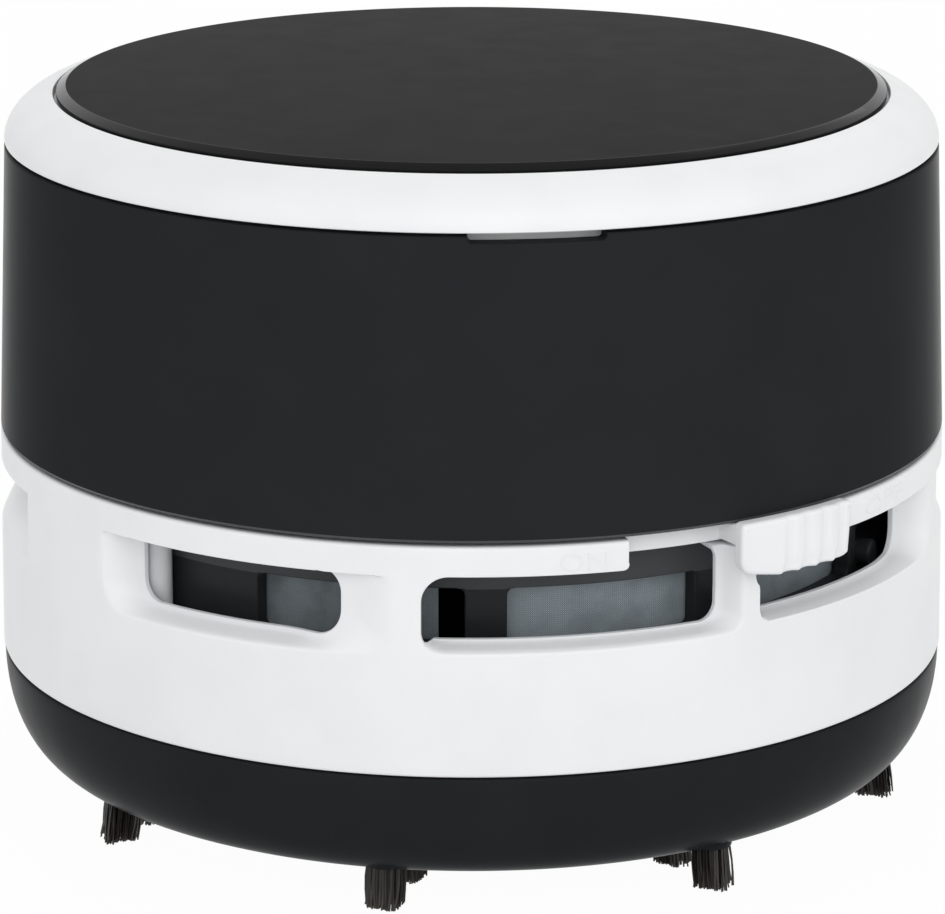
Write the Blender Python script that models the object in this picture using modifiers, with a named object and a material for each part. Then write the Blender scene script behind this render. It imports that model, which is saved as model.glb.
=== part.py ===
# Desktop mini vacuum cleaner, an assembly of separate parts.
# Metres, +Z up. The origin is on the upright axis, at the level of the brush tips.
# The switch faces -Y. Angles are measured from -Y towards +X, counter-clockwise from above.
import math

import bmesh
import bpy
from mathutils import Matrix, Vector

MM = 0.001
DEG = math.pi / 180

# Clearances shared by every fit
fit_gap = 0.3 * MM
overrun = 1.0 * MM
thin_wall = 1.2 * MM

# Facets and merging
sharp_angle = 35 * DEG
merge_gap = 0.005 * MM
round_steps = 60
small_steps = 24
hole_steps = 12
plug_steps = 8
angle_step = 6 * DEG

# Motor: it sets how far apart the cells lie and how high the lid is
motor_radius = 10.05 * MM
motor_flat_cut = 2.5 * MM
motor_can_height = 19.0 * MM
motor_wall = 0.8 * MM
endbell_height = 4.1 * MM
bush_radius = 3.0 * MM
bush_height = 1.4 * MM
shaft_radius = 1.0 * MM
shaft_end_margin = 1.5 * MM
rotor_gap = 0.65 * MM
rotor_margin = 1.0 * MM

# Cells, springs and contacts: they set the housing's radius
cell_radius = 7.1 * MM
cell_length = 49.2 * MM
cell_nub_radius = 2.75 * MM
cell_nub_height = 1.0 * MM
cell_motor_gap = 1.15 * MM
cell_lift = 6.3 * MM
spring_length = 2.9 * MM
spring_wide = 3.2 * MM
spring_narrow = 2.2 * MM
contact_wall = 0.4 * MM
contact_width = 9.0 * MM
contact_tail = 2.5 * MM
contact_wire_drop = 2.95 * MM

# Chassis that carries the motor and the two cells
plate_height = 1.8 * MM
plate_rim = 2.83 * MM
saddle_width = 4.0 * MM
saddle_spread_share = 0.305
saddle_grip_share = 0.45
saddle_width_share = 0.85
clip_height = 14.0 * MM
clip_half_width = 5.0 * MM

# Black sleeve round the chassis
band_gap = 0.4 * MM
band_wall = 1.65 * MM
band_draft = 0.95 * MM
notch_angles = (-0.5 * DEG, 15.4 * DEG)
notch_height = 0.55 * MM

# White battery lid and the inlaid disc
lid_rim_width = 4.3 * MM
lid_edge_width = 6.34 * MM
lid_edge_height = 4.2 * MM
lid_edge_steps = 6
lid_web = 1.2 * MM
lid_spigot_gap = 0.5 * MM
lid_spigot_wall = 1.4 * MM
lid_spigot_depth = 2.7 * MM
disc_recess_depth = 0.8 * MM
disc_proud = 0.6 * MM
disc_chamfer = 0.45 * MM
disc_chamfer_width = 0.8 * MM

# Vent ring, the white lower housing
ring_draft = 0.25 * MM
ring_wall = 1.8 * MM
lip_wall = 2.1 * MM
lip_height = 2.55 * MM
vent_sill = 1.5 * MM
vent_height = 6.0 * MM
vent_depth = 2.7 * MM
vent_slope = 0.55 * MM
vent_head = 0.2 * MM
vent_angle = 38.3 * DEG
vent_pitch_angle = 40 * DEG
vent_jamb_angle = 0.4 * DEG
vent_group_angles = (-45.8 * DEG, 134.2 * DEG)
vent_ramp_angles = (8 * DEG, 2.5 * DEG, 4 * DEG)
ramp_end_share = 1.12
grip_angles = (76 * DEG, 256 * DEG)
grip_width_angle = 39.4 * DEG
grip_depth = 2.6 * MM
grip_rise = 5.2 * MM

# Switch slider, a finger pad on a curved carrier behind the lip
carrier_wall = 1.3 * MM
carrier_height = 1.65 * MM
carrier_angles = (6 * DEG, 60 * DEG)
pad_angles = (29.8 * DEG, 46.8 * DEG)
pad_stand_off = 0.35 * MM
pad_wall = 1.15 * MM
pad_height = 4.6 * MM
pad_bevel = 0.35 * MM
neck_inset = 0.1 * MM
neck_inset_angle = 0.3 * DEG
flute_count = 4
flute_first_angle = 37.2 * DEG
flute_pitch_angle = 2.6 * DEG
flute_radius = 0.9 * MM
flute_depth = 0.45 * MM
switch_travel_angle = 11.5 * DEG
cutout_gap_angle = 0.6 * DEG
leaf_wall = 0.3 * MM
leaf_height = 1.1 * MM
leaf_angles = (32 * DEG, 52 * DEG)
tab_wall = 0.4 * MM
tab_height = 2.2 * MM
tab_foot = 2.6 * MM
tab_angle = 5 * DEG
tab_start_angles = (25 * DEG, 36 * DEG)

# Filter cage and the woven sleeve inside it
filter_gap = 1.1 * MM
filter_wall = 1.4 * MM
filter_flange_height = 1.1 * MM
filter_top_margin = 2.25 * MM
filter_rail = 2.8 * MM
filter_sill = 0.4 * MM
filter_window_corner = 0.6 * MM
filter_window_angles = (
    (-62 * DEG, -41 * DEG), (-26 * DEG, -0.7 * DEG), (4.4 * DEG, 28.1 * DEG),
    (36 * DEG, 61 * DEG), (68 * DEG, 92 * DEG), (99 * DEG, 123 * DEG),
    (130 * DEG, 154 * DEG), (161 * DEG, 185 * DEG), (192 * DEG, 216 * DEG),
    (223 * DEG, 247 * DEG), (254 * DEG, 278 * DEG),
)
mesh_wall = 0.4 * MM
mesh_seam_angles = (-4.2 * DEG, -0.7 * DEG)

# Impeller below the plate
impeller_radius = 22.0 * MM
impeller_plate = 1.2 * MM
impeller_drop = 1.4 * MM
impeller_hub = 3.6 * MM
blade_count = 8
blade_wall = 1.2 * MM
blade_height = 6.6 * MM
blade_inset = 0.6 * MM

# Base cover: a shallow bowl with a spigot that enters the vent ring
base_step = 0.1 * MM
base_height = 9.85 * MM
base_edge_width = 5.9 * MM
base_wall = 1.8 * MM
base_curve_steps = 6
spigot_wall = 1.6 * MM
spigot_height = 7.95 * MM
lug_count = 3
lug_angle = 12 * DEG
lug_first_angle = 20 * DEG
lug_gap_angle = 1 * DEG
lug_height = 2.0 * MM
lug_reach = 0.9 * MM
lug_rise = 2.2 * MM
twist_travel_angle = 14 * DEG

# Suction inlet, a chimney seated in the base cover
inlet_bore = 9.0 * MM
inlet_wall = 1.8 * MM
inlet_impeller_gap = 2.45 * MM
inlet_flange_reach = 3.2 * MM
inlet_flange_height = 1.2 * MM

# Brush tufts in pairs under the base
tuft_length = 4.0 * MM
tuft_count = 8
tuft_first_angle = -11.5 * DEG
tuft_edge_margin = 2.1 * MM
tuft_row_gap = 5.6 * MM
tuft_outer_lean = 1.2 * MM
tuft_inner_lean = 0.6 * MM
tuft_root_radius = 1.0 * MM
tuft_tip_radius = 1.5 * MM
tuft_plug_radius = 1.5 * MM
tuft_plug_height = 2.0 * MM
socket_wall = 0.9 * MM
strand_radius = 0.23 * MM
strand_sides = 3
strand_ring_counts = (1, 6, 12)
strand_ring_shares = (0.0, 0.52, 1.0)
strand_anchor = 0.8 * MM

# Screws between the chassis and the vent ring
screw_angles = (-55.2 * DEG, 124.8 * DEG)
screw_inset = 0.7 * MM
screw_head_radius = 1.3 * MM
screw_head_height = 1.2 * MM
screw_radius = 0.7 * MM
screw_length = 6.0 * MM
screw_boss_radius = 1.5 * MM

# Wires inside the housing
wire_radius = 0.45 * MM
wire_bend = 2.5 * MM
wire_room = 0.68 * MM
wire_ring_margin = 2.75 * MM
wire_ring_angles = (20 * DEG, 55 * DEG, 90 * DEG)
wire_steps = 4
wire_pull_share = 0.17

# Radii and spans, worked out from the cells outwards and back in
motor_flat_half = motor_radius - motor_flat_cut
cell_offset = motor_flat_half + cell_motor_gap + cell_radius
contact_face = (cell_length + cell_nub_height + spring_length + 3 * fit_gap) / 2
end_wall_face = contact_face + contact_wall + fit_gap
end_wall_half_width = cell_offset + cell_radius
saddle_spread = cell_length * saddle_spread_share
plate_radius = math.hypot(end_wall_face + thin_wall, end_wall_half_width) + plate_rim
ring_top_radius = plate_radius + band_gap + band_wall
ring_radius = ring_top_radius + ring_draft
band_top_radius = ring_top_radius - band_draft
disc_recess_radius = band_top_radius - lid_rim_width
lid_spigot_radius = band_top_radius - band_wall - lid_spigot_gap
wire_ring = lid_spigot_radius - lid_spigot_wall - wire_ring_margin
vent_radius = ring_radius - vent_depth
ring_bore = ring_radius - ring_wall
carrier_outer = ring_radius - lip_wall - fit_gap
carrier_inner = carrier_outer - carrier_wall
leaf_inner = carrier_inner - fit_gap - leaf_wall
belt_bore = leaf_inner
tab_outer = belt_bore - fit_gap
wire_circle = tab_outer - tab_foot / 2
screw_circle = belt_bore + screw_inset
pad_inner = ring_radius + pad_stand_off
pad_outer = pad_inner + pad_wall
filter_outer = belt_bore - filter_gap
spigot_radius = ring_bore - fit_gap
groove_radius = spigot_radius + lug_reach + fit_gap
base_radius = ring_radius - base_step
base_flat_radius = base_radius - base_edge_width
tuft_outer_root = base_flat_radius - tuft_edge_margin
tuft_inner_root = tuft_outer_root - tuft_row_gap
tuft_outer_tip = tuft_outer_root + tuft_outer_lean
tuft_inner_tip = tuft_inner_root + tuft_inner_lean
inlet_hole = inlet_bore + inlet_wall + fit_gap
bore_radius = shaft_radius + fit_gap
rotor_radius = motor_flat_half - motor_wall - rotor_gap

# Levels, worked out from the table upwards
base_bottom = tuft_length
base_rim = base_bottom + base_height
lug_bottom = base_rim + lug_rise
socket_top = base_bottom + tuft_plug_height + 2 * fit_gap
ring_bottom = base_rim + fit_gap
spigot_top = base_rim + spigot_height
flange_bottom = spigot_top + fit_gap
flange_top = flange_bottom + filter_flange_height
belt_level = flange_top + fit_gap
vent_floor = belt_level + vent_sill
lip_level = vent_floor + vent_height
ring_top = lip_level + lip_height
filter_top = ring_top - filter_top_margin
carrier_bottom = ring_top - carrier_height
shelf_level = carrier_bottom - fit_gap
plate_bottom = ring_top + fit_gap
plate_top = plate_bottom + plate_height
impeller_top = plate_bottom - impeller_drop
blade_bottom = impeller_top - impeller_plate - blade_height
hub_bottom = blade_bottom - blade_inset
inlet_top = hub_bottom - inlet_impeller_gap
screw_tip = ring_top - screw_length
tab_top = plate_bottom - fit_gap
pad_bottom = plate_bottom - pad_height
cell_level = plate_top + cell_lift + cell_radius
can_bottom = plate_top + fit_gap
can_top = can_bottom + motor_can_height
endbell_bottom = can_top + fit_gap
endbell_top = endbell_bottom + endbell_height
shaft_top = endbell_top - shaft_end_margin
wire_level = endbell_top + fit_gap + wire_radius
contact_bottom = plate_top + fit_gap
contact_top = wire_level - contact_wire_drop
end_wall_top = contact_top - contact_tail
web_bottom = wire_level + wire_radius + wire_room
recess_floor = web_bottom + lid_web
lid_rim = recess_floor + disc_recess_depth
lid_edge_centre = band_top_radius - lid_edge_width
lid_rim_angle = math.acos((disc_recess_radius - lid_edge_centre) / lid_edge_width)
lid_bottom = lid_rim - lid_edge_height * math.sin(lid_rim_angle)
band_bottom = plate_bottom
band_top = lid_bottom - fit_gap


# Shape helpers


def polar(radius, angle, height=0.0):
    """The point at a radius and an angle from -Y towards +X."""
    return Vector((radius * math.sin(angle), -radius * math.cos(angle), height))


def add_box(bm, low, high, turn=Matrix.Identity(4)):
    """A box between two corners, turned about the upright axis if asked."""
    low, high = Vector(low), Vector(high)
    place = Matrix.Translation((low + high) / 2) @ Matrix.Diagonal((*(high - low), 1))
    bmesh.ops.create_cube(bm, size=1, matrix=turn @ place)


def add_cylinder(bm, radius, low, high, centre=(0, 0), steps=small_steps, top_radius=None):
    """An upright cylinder or cone between two heights."""
    place = Matrix.Translation((centre[0], centre[1], (low + high) / 2))
    bmesh.ops.create_cone(bm, cap_ends=True, segments=steps, radius1=radius, depth=high - low,
                          radius2=radius if top_radius is None else top_radius, matrix=place)


def add_rod(bm, radius, start, end, steps=small_steps, end_radius=None):
    """A round rod or cone between two points."""
    start, end = Vector(start), Vector(end)
    turn = (end - start).to_track_quat("Z", "Y").to_matrix().to_4x4()
    bmesh.ops.create_cone(bm, cap_ends=True, segments=steps, radius1=radius,
                          radius2=radius if end_radius is None else end_radius,
                          depth=(end - start).length,
                          matrix=Matrix.Translation((start + end) / 2) @ turn)


def add_sector(bm, profile, start, end):
    """A closed profile of (radius, height) points, swept between two angles."""
    corners = [bm.verts.new(polar(radius, start, height)) for radius, height in profile]
    face = bm.faces.new(corners)
    steps = max(1, math.ceil((end - start) / angle_step))
    bmesh.ops.spin(bm, geom=[*corners, *face.edges, face], cent=(0, 0, 0), axis=(0, 0, 1),
                   dvec=(0, 0, 0), angle=end - start, steps=steps, use_merge=False,
                   use_duplicate=False)


def band_profile(inner, outer, low, high):
    """The profile of a plain ring."""
    return ((inner, low), (outer, low), (outer, high), (inner, high))


def add_loft(bm, sections):
    """A solid through a row of sections that have the same number of corners."""
    rows = [[bm.verts.new(point) for point in section] for section in sections]
    bm.faces.new(rows[0])
    bm.faces.new(list(reversed(rows[-1])))
    for row, following in zip(rows, rows[1:]):
        for i in range(len(row)):
            j = (i + 1) % len(row)
            bm.faces.new((row[i], row[j], following[j], following[i]))


def add_prism(bm, outline, low, high):
    """A flat outline, made as thick as the gap between two heights."""
    face = bm.faces.new([bm.verts.new((x, y, low)) for x, y in outline])
    grown = bmesh.ops.extrude_face_region(bm, geom=[face])["geom"]
    moved = [item for item in grown if isinstance(item, bmesh.types.BMVert)]
    bmesh.ops.translate(bm, verts=moved, vec=(0, 0, high - low))


def arc_points(centre, radii, start, end, steps):
    """Points (radius, height) along a quarter of an ellipse."""
    angles = [start + (end - start) * i / steps for i in range(steps + 1)]
    return [(centre[0] + radii[0] * math.cos(a), centre[1] + radii[1] * math.sin(a))
            for a in angles]


# Objects, materials and collections


def collection(name):
    group = bpy.data.collections.new(name)
    bpy.context.scene.collection.children.link(group)
    return group


def material(name, colour, roughness, metallic=0.0):
    finish = bpy.data.materials.new(name)
    finish.use_nodes = True
    shader = finish.node_tree.nodes["Principled BSDF"]
    shader.inputs["Base Color"].default_value = (*colour, 1)
    shader.inputs["Roughness"].default_value = roughness
    shader.inputs["Metallic"].default_value = metallic
    return finish


def mesh_from(name, bm):
    """A mesh from a bmesh, with its faces pointing out and its round faces smooth."""
    bmesh.ops.recalc_face_normals(bm, faces=bm.faces)
    mesh = bpy.data.meshes.new(name)
    bm.to_mesh(mesh)
    bm.free()
    mesh.shade_smooth()
    mesh.set_sharp_from_angle(angle=sharp_angle)
    return mesh


def place(name, mesh, finish, parent):
    """A named piece of the model."""
    piece = bpy.data.objects.new(name, mesh)
    piece.parent = parent
    if finish is not None:
        mesh.materials.clear()
        mesh.materials.append(finish)
    parts.objects.link(piece)
    return piece


def piece_from(name, bm, finish, parent):
    return place(name, mesh_from(name, bm), finish, parent)


def helper_from(name, bm, bevel=None):
    """A hidden shape that another piece is cut with or joined to."""
    helper = bpy.data.objects.new(name, mesh_from(name, bm))
    helper.hide_render = True
    helper.display_type = "WIRE"
    helpers.objects.link(helper)
    if bevel is not None:
        round_edges(helper, bevel)
    return helper


def combine(piece, helper, operation):
    change = piece.modifiers.new(operation.lower() + " " + helper.name, "BOOLEAN")
    change.operation = operation
    change.object = helper
    change.solver = "EXACT"


def round_edges(piece, width):
    bevel = piece.modifiers.new("edges", "BEVEL")
    bevel.width = width
    bevel.segments = 2
    bevel.limit_method = "ANGLE"
    bevel.angle_limit = sharp_angle


def turned(name, profile, finish, parent, steps=round_steps):
    """A piece turned from (radius, height) points that run down its outer side."""
    mesh = bpy.data.meshes.new(name)
    edges = [(i, i + 1) for i in range(len(profile) - 1)]
    if profile[0][0] > 0:
        edges.append((len(profile) - 1, 0))
    mesh.from_pydata([(radius, 0, height) for radius, height in profile], edges, [])
    piece = place(name, mesh, finish, parent)
    screw = piece.modifiers.new("turned", "SCREW")
    screw.steps = steps
    screw.render_steps = steps
    screw.use_merge_vertices = True
    screw.merge_threshold = merge_gap
    screw.use_smooth_shade = True
    return piece


def pivot(name, parent=None):
    """An empty on the upright axis, which all the joints share."""
    axis = bpy.data.objects.new(name, None)
    axis.parent = parent
    parts.objects.link(axis)
    return axis


# Base cover with its inlet and brushes


def tuft_places():
    """The (angle, root radius, tip radius) of each tuft, in two rows."""
    for i in range(tuft_count):
        angle = tuft_first_angle + i * 2 * math.pi / tuft_count
        yield angle, tuft_outer_root, tuft_outer_tip
        yield angle, tuft_inner_root, tuft_inner_tip


def build_base_cover(finish, parent):
    """A bowl with a spigot, three bayonet lugs and a socket for each tuft."""
    floor_top = base_bottom + base_wall
    inner_flat = base_flat_radius - base_wall
    spigot_bore = spigot_radius - spigot_wall
    outer_curve = arc_points((base_flat_radius, base_rim),
                             (base_radius - base_flat_radius, base_height),
                             0, -math.pi / 2, base_curve_steps)
    inner_curve = arc_points((inner_flat, floor_top + base_height / 2),
                             (spigot_bore - inner_flat, base_height / 2),
                             -math.pi / 2, 0, base_curve_steps // 2)
    profile = [(spigot_radius, spigot_top), (spigot_radius, base_rim), *outer_curve,
               (inlet_hole, base_bottom), (inlet_hole, floor_top), *inner_curve,
               (spigot_bore, spigot_top)]
    cover = turned("base_cover", profile, finish, parent)

    lugs = bmesh.new()
    for start in lug_starts():
        add_sector(lugs, band_profile(spigot_radius - spigot_wall / 2, spigot_radius + lug_reach,
                                      lug_bottom, lug_bottom + lug_height),
                   start, start + lug_angle)
    combine(cover, helper_from("base_lugs", lugs), "UNION")

    bosses, sockets = bmesh.new(), bmesh.new()
    for angle, root, _ in tuft_places():
        centre = polar(root, angle)
        add_cylinder(bosses, tuft_plug_radius + fit_gap + socket_wall, base_bottom + base_wall / 2,
                     socket_top + socket_wall, centre, plug_steps)
        add_cylinder(sockets, tuft_plug_radius + fit_gap, base_bottom - overrun, socket_top,
                     centre, plug_steps)
    combine(cover, helper_from("base_bosses", bosses), "UNION")
    combine(cover, helper_from("base_sockets", sockets), "DIFFERENCE")


def build_suction_inlet(finish, parent):
    """The chimney that the air comes up through, with a flange on the bowl's floor."""
    outer = inlet_bore + inlet_wall
    flange = outer + inlet_flange_reach
    flange_low = base_bottom + base_wall + fit_gap
    flange_high = flange_low + inlet_flange_height
    turned("suction_inlet", [
        (outer, inlet_top), (outer, flange_high), (flange, flange_high), (flange, flange_low),
        (outer, flange_low), (outer, base_bottom), (inlet_bore, base_bottom),
        (inlet_bore, inlet_top),
    ], finish, parent, round_steps // 2)


def tuft_mesh(name, root, tip, finish):
    """A plug and its strands, which spread from the plug to tips cut flat on the floor."""
    plug_bottom = base_bottom + fit_gap
    plug = bmesh.new()
    add_cylinder(plug, tuft_plug_radius, plug_bottom, plug_bottom + tuft_plug_height,
                 polar(root, 0), plug_steps)
    piece = piece_from(name, plug, finish, None)

    strands = bmesh.new()
    height = plug_bottom + strand_anchor
    for count, share in zip(strand_ring_counts, strand_ring_shares):
        for i in range(count):
            angle = i * 2 * math.pi / count
            top = polar(root, 0) + polar(tuft_root_radius * share, angle)
            foot = polar(tip, 0) + polar(tuft_tip_radius * share, angle)
            shear = Matrix.Identity(4)
            shear[0][2] = (top.x - foot.x) / height
            shear[1][2] = (top.y - foot.y) / height
            turn = Matrix.Rotation(angle, 4, "Z")
            move = Matrix.Translation((foot.x, foot.y, 0))
            lift = Matrix.Translation((0, 0, height / 2))
            bmesh.ops.create_cone(strands, cap_ends=True, segments=strand_sides,
                                  radius1=strand_radius, radius2=strand_radius,
                                  depth=height, matrix=move @ shear @ lift @ turn)
    helper = helper_from(name + "_strands", strands)
    combine(piece, helper, "UNION")
    bpy.context.view_layer.update()
    seen = piece.evaluated_get(bpy.context.evaluated_depsgraph_get())
    mesh = bpy.data.meshes.new_from_object(seen)
    bpy.data.objects.remove(piece)
    bpy.data.objects.remove(helper)
    return mesh


def build_tufts(finish, parent):
    outer = tuft_mesh("outer_tuft", tuft_outer_root, tuft_outer_tip, finish)
    inner = tuft_mesh("inner_tuft", tuft_inner_root, tuft_inner_tip, finish)
    for i in range(tuft_count):
        for row, mesh in (("outer", outer), ("inner", inner)):
            tuft = place("brush_%s_%d" % (row, i + 1), mesh, None, parent)
            tuft.rotation_euler.z = tuft_first_angle + i * 2 * math.pi / tuft_count


def lug_starts():
    return [lug_first_angle + i * 2 * math.pi / lug_count for i in range(lug_count)]


# Vent ring


def vents():
    """The (start, ramp start, end) of each vent, in two groups."""
    for first in vent_group_angles:
        for i, ramp in enumerate(vent_ramp_angles):
            start = first + i * vent_pitch_angle
            yield start, start + vent_angle - ramp, start + vent_angle


def add_scoop(bm, start, ramp_start, end):
    """The hollow of one vent, whose floor runs out to the surface at its right end."""
    outer = ring_radius + overrun
    flat_steps = math.ceil((ramp_start - start) / angle_step)
    ramp_steps = math.ceil((end - ramp_start) / angle_step)
    angles = [start + (ramp_start - start) * i / flat_steps for i in range(flat_steps)]
    angles += [ramp_start + (end - ramp_start) * i / ramp_steps for i in range(ramp_steps + 1)]
    sections = []
    for angle in angles:
        out = vent_depth * ramp_end_share * max(0, angle - ramp_start) / (end - ramp_start)
        inner = vent_radius + out
        sections.append([polar(inner, angle, floor_height(inner)),
                         polar(outer, angle, floor_height(outer)),
                         polar(outer, angle, lip_level), polar(inner, angle, lip_level)])
    add_loft(bm, sections)


def floor_height(radius):
    """The height of a vent's sloping floor at a radius."""
    return vent_floor - vent_slope * (radius - vent_radius) / vent_depth


def grip_profile():
    """The section of a finger grip, whose back leans in from the lower edge to the lip."""
    floor = vent_floor - vent_slope
    inner = ring_radius - grip_depth
    return ((ring_radius + overrun, floor - grip_rise * overrun / grip_depth),
            (ring_radius + overrun, lip_level), (inner, lip_level), (inner, floor + grip_rise))


def build_vent_ring(finish, parent):
    """The lower housing, with vents, finger grips, the switch's slot and bayonet grooves."""
    ring = turned("vent_ring", [
        (ring_top_radius, ring_top), (ring_radius, ring_bottom), (ring_bore, ring_bottom),
        (ring_bore, belt_level), (belt_bore, belt_level), (belt_bore, ring_top),
    ], finish, parent)

    bosses = bmesh.new()
    for angle in screw_angles:
        add_cylinder(bosses, screw_boss_radius, screw_tip - screw_boss_radius,
                     ring_top - fit_gap, polar(screw_circle, angle), hole_steps)
    combine(ring, helper_from("ring_bosses", bosses), "UNION")

    scoops, windows = bmesh.new(), bmesh.new()
    for start, ramp_start, end in vents():
        add_scoop(scoops, start, ramp_start, end)
        add_sector(windows, band_profile(belt_bore - overrun, vent_radius + overrun / 2,
                                         vent_floor, lip_level - vent_head),
                   start + vent_jamb_angle, ramp_start - vent_jamb_angle)
    combine(ring, helper_from("ring_scoops", scoops), "DIFFERENCE")
    combine(ring, helper_from("ring_windows", windows), "DIFFERENCE")

    grips = bmesh.new()
    for start in grip_angles:
        add_sector(grips, grip_profile(), start, start + grip_width_angle)
    combine(ring, helper_from("ring_grips", grips), "DIFFERENCE")

    slot = bmesh.new()
    add_sector(slot, band_profile(belt_bore - overrun, carrier_outer + fit_gap, shelf_level,
                                  ring_top + overrun),
               carrier_angles[0] - switch_travel_angle - cutout_gap_angle,
               carrier_angles[1] + cutout_gap_angle)
    combine(ring, helper_from("ring_slot", slot), "DIFFERENCE")

    cutout = bmesh.new()
    cut_start = pad_angles[0] - switch_travel_angle - cutout_gap_angle
    cut_end = pad_angles[1] + cutout_gap_angle
    add_sector(cutout, band_profile(carrier_outer, ring_radius + overrun, shelf_level,
                                    ring_top + overrun), cut_start, cut_end)
    combine(ring, helper_from("ring_cutout", cutout), "DIFFERENCE")

    switch_vents = list(vents())[1:3]
    openings = bmesh.new()
    shelf = band_profile(belt_bore - overrun, ring_radius + overrun,
                         lip_level - vent_head - vent_height / 4, shelf_level + fit_gap)
    add_sector(openings, shelf, cut_start, switch_vents[0][1] - vent_jamb_angle)
    add_sector(openings, shelf, switch_vents[1][0] + vent_jamb_angle, cut_end)
    combine(ring, helper_from("ring_switch_openings", openings), "DIFFERENCE")

    grooves, entries = bmesh.new(), bmesh.new()
    for start in lug_starts():
        groove_top = lug_bottom + lug_height + fit_gap
        add_sector(grooves, band_profile(ring_bore - spigot_wall, groove_radius,
                                         lug_bottom - fit_gap, groove_top),
                   start - lug_gap_angle, start + twist_travel_angle + lug_angle + lug_gap_angle)
        add_sector(entries, band_profile(ring_bore - spigot_wall, groove_radius,
                                         ring_bottom - overrun, groove_top - lug_height / 2),
                   start + twist_travel_angle - lug_gap_angle / 2,
                   start + twist_travel_angle + lug_angle + lug_gap_angle / 2)
    combine(ring, helper_from("ring_grooves", grooves), "DIFFERENCE")
    combine(ring, helper_from("ring_entries", entries), "DIFFERENCE")

    holes = bmesh.new()
    for angle in screw_angles:
        add_cylinder(holes, screw_radius + fit_gap, screw_tip - fit_gap, ring_top + overrun,
                     polar(screw_circle, angle), hole_steps)
    combine(ring, helper_from("ring_screw_holes", holes), "DIFFERENCE")


# Switch


def build_switch(finish, brass, parent, housing):
    """The finger pad and its carrier in one piece, its contact leaf and the two fixed tabs."""
    pad = bmesh.new()
    add_sector(pad, band_profile(pad_inner, pad_outer, pad_bottom, pad_bottom + pad_height),
               *pad_angles)
    slider = piece_from("switch_slider", pad, finish, parent)
    round_edges(slider, pad_bevel)

    carrier = bmesh.new()
    add_sector(carrier, band_profile(carrier_inner, carrier_outer, carrier_bottom, ring_top),
               *carrier_angles)
    combine(slider, helper_from("slider_carrier", carrier), "UNION")

    neck = bmesh.new()
    add_sector(neck, band_profile(carrier_outer - carrier_wall / 2, pad_inner + pad_wall / 2,
                                  carrier_bottom + neck_inset, ring_top - neck_inset),
               pad_angles[0] + neck_inset_angle, pad_angles[1] - neck_inset_angle)
    combine(slider, helper_from("slider_neck", neck), "UNION")

    flutes = bmesh.new()
    for i in range(flute_count):
        add_cylinder(flutes, flute_radius, pad_bottom - overrun, pad_bottom + pad_height + overrun,
                     polar(pad_outer + flute_radius - flute_depth,
                           flute_first_angle + i * flute_pitch_angle), hole_steps)
    combine(slider, helper_from("slider_flutes", flutes), "DIFFERENCE")

    leaf = bmesh.new()
    leaf_bottom = carrier_bottom + (carrier_height - leaf_height) / 2
    add_sector(leaf, band_profile(leaf_inner, leaf_inner + leaf_wall, leaf_bottom,
                                  leaf_bottom + leaf_height), *leaf_angles)
    piece_from("slider_contact", leaf, brass, parent)

    for name, start in zip(("switch_tab_a", "switch_tab_b"), tab_start_angles):
        tab = bmesh.new()
        add_sector(tab, [
            (tab_outer - tab_foot, tab_top), (tab_outer, tab_top),
            (tab_outer, tab_top - tab_height), (tab_outer - tab_wall, tab_top - tab_height),
            (tab_outer - tab_wall, tab_top - tab_wall), (tab_outer - tab_foot, tab_top - tab_wall),
        ], start, start + tab_angle)
        piece_from(name, tab, brass, housing)


# Filter cage


def build_filter(finish, mesh_finish, parent):
    """The cage behind the vents and the woven sleeve inside it."""
    inner = filter_outer - filter_wall
    cage = turned("filter_frame", [
        (filter_outer, filter_top), (filter_outer, flange_top), (spigot_radius, flange_top),
        (spigot_radius, flange_bottom), (inner, flange_bottom), (inner, filter_top),
    ], finish, parent)
    windows = bmesh.new()
    for start, end in filter_window_angles:
        add_sector(windows, band_profile(inner - overrun, filter_outer + overrun,
                                         flange_top + filter_sill, filter_top - filter_rail),
                   start, end)
    combine(cage, helper_from("filter_windows", windows, filter_window_corner), "DIFFERENCE")

    sleeve = bmesh.new()
    add_sector(sleeve, band_profile(inner - fit_gap - mesh_wall, inner - fit_gap,
                                    flange_bottom + fit_gap, filter_top - fit_gap),
               mesh_seam_angles[1], mesh_seam_angles[0] + 2 * math.pi)
    piece_from("filter_mesh", sleeve, mesh_finish, parent)


# Chassis, cells and contacts


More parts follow.
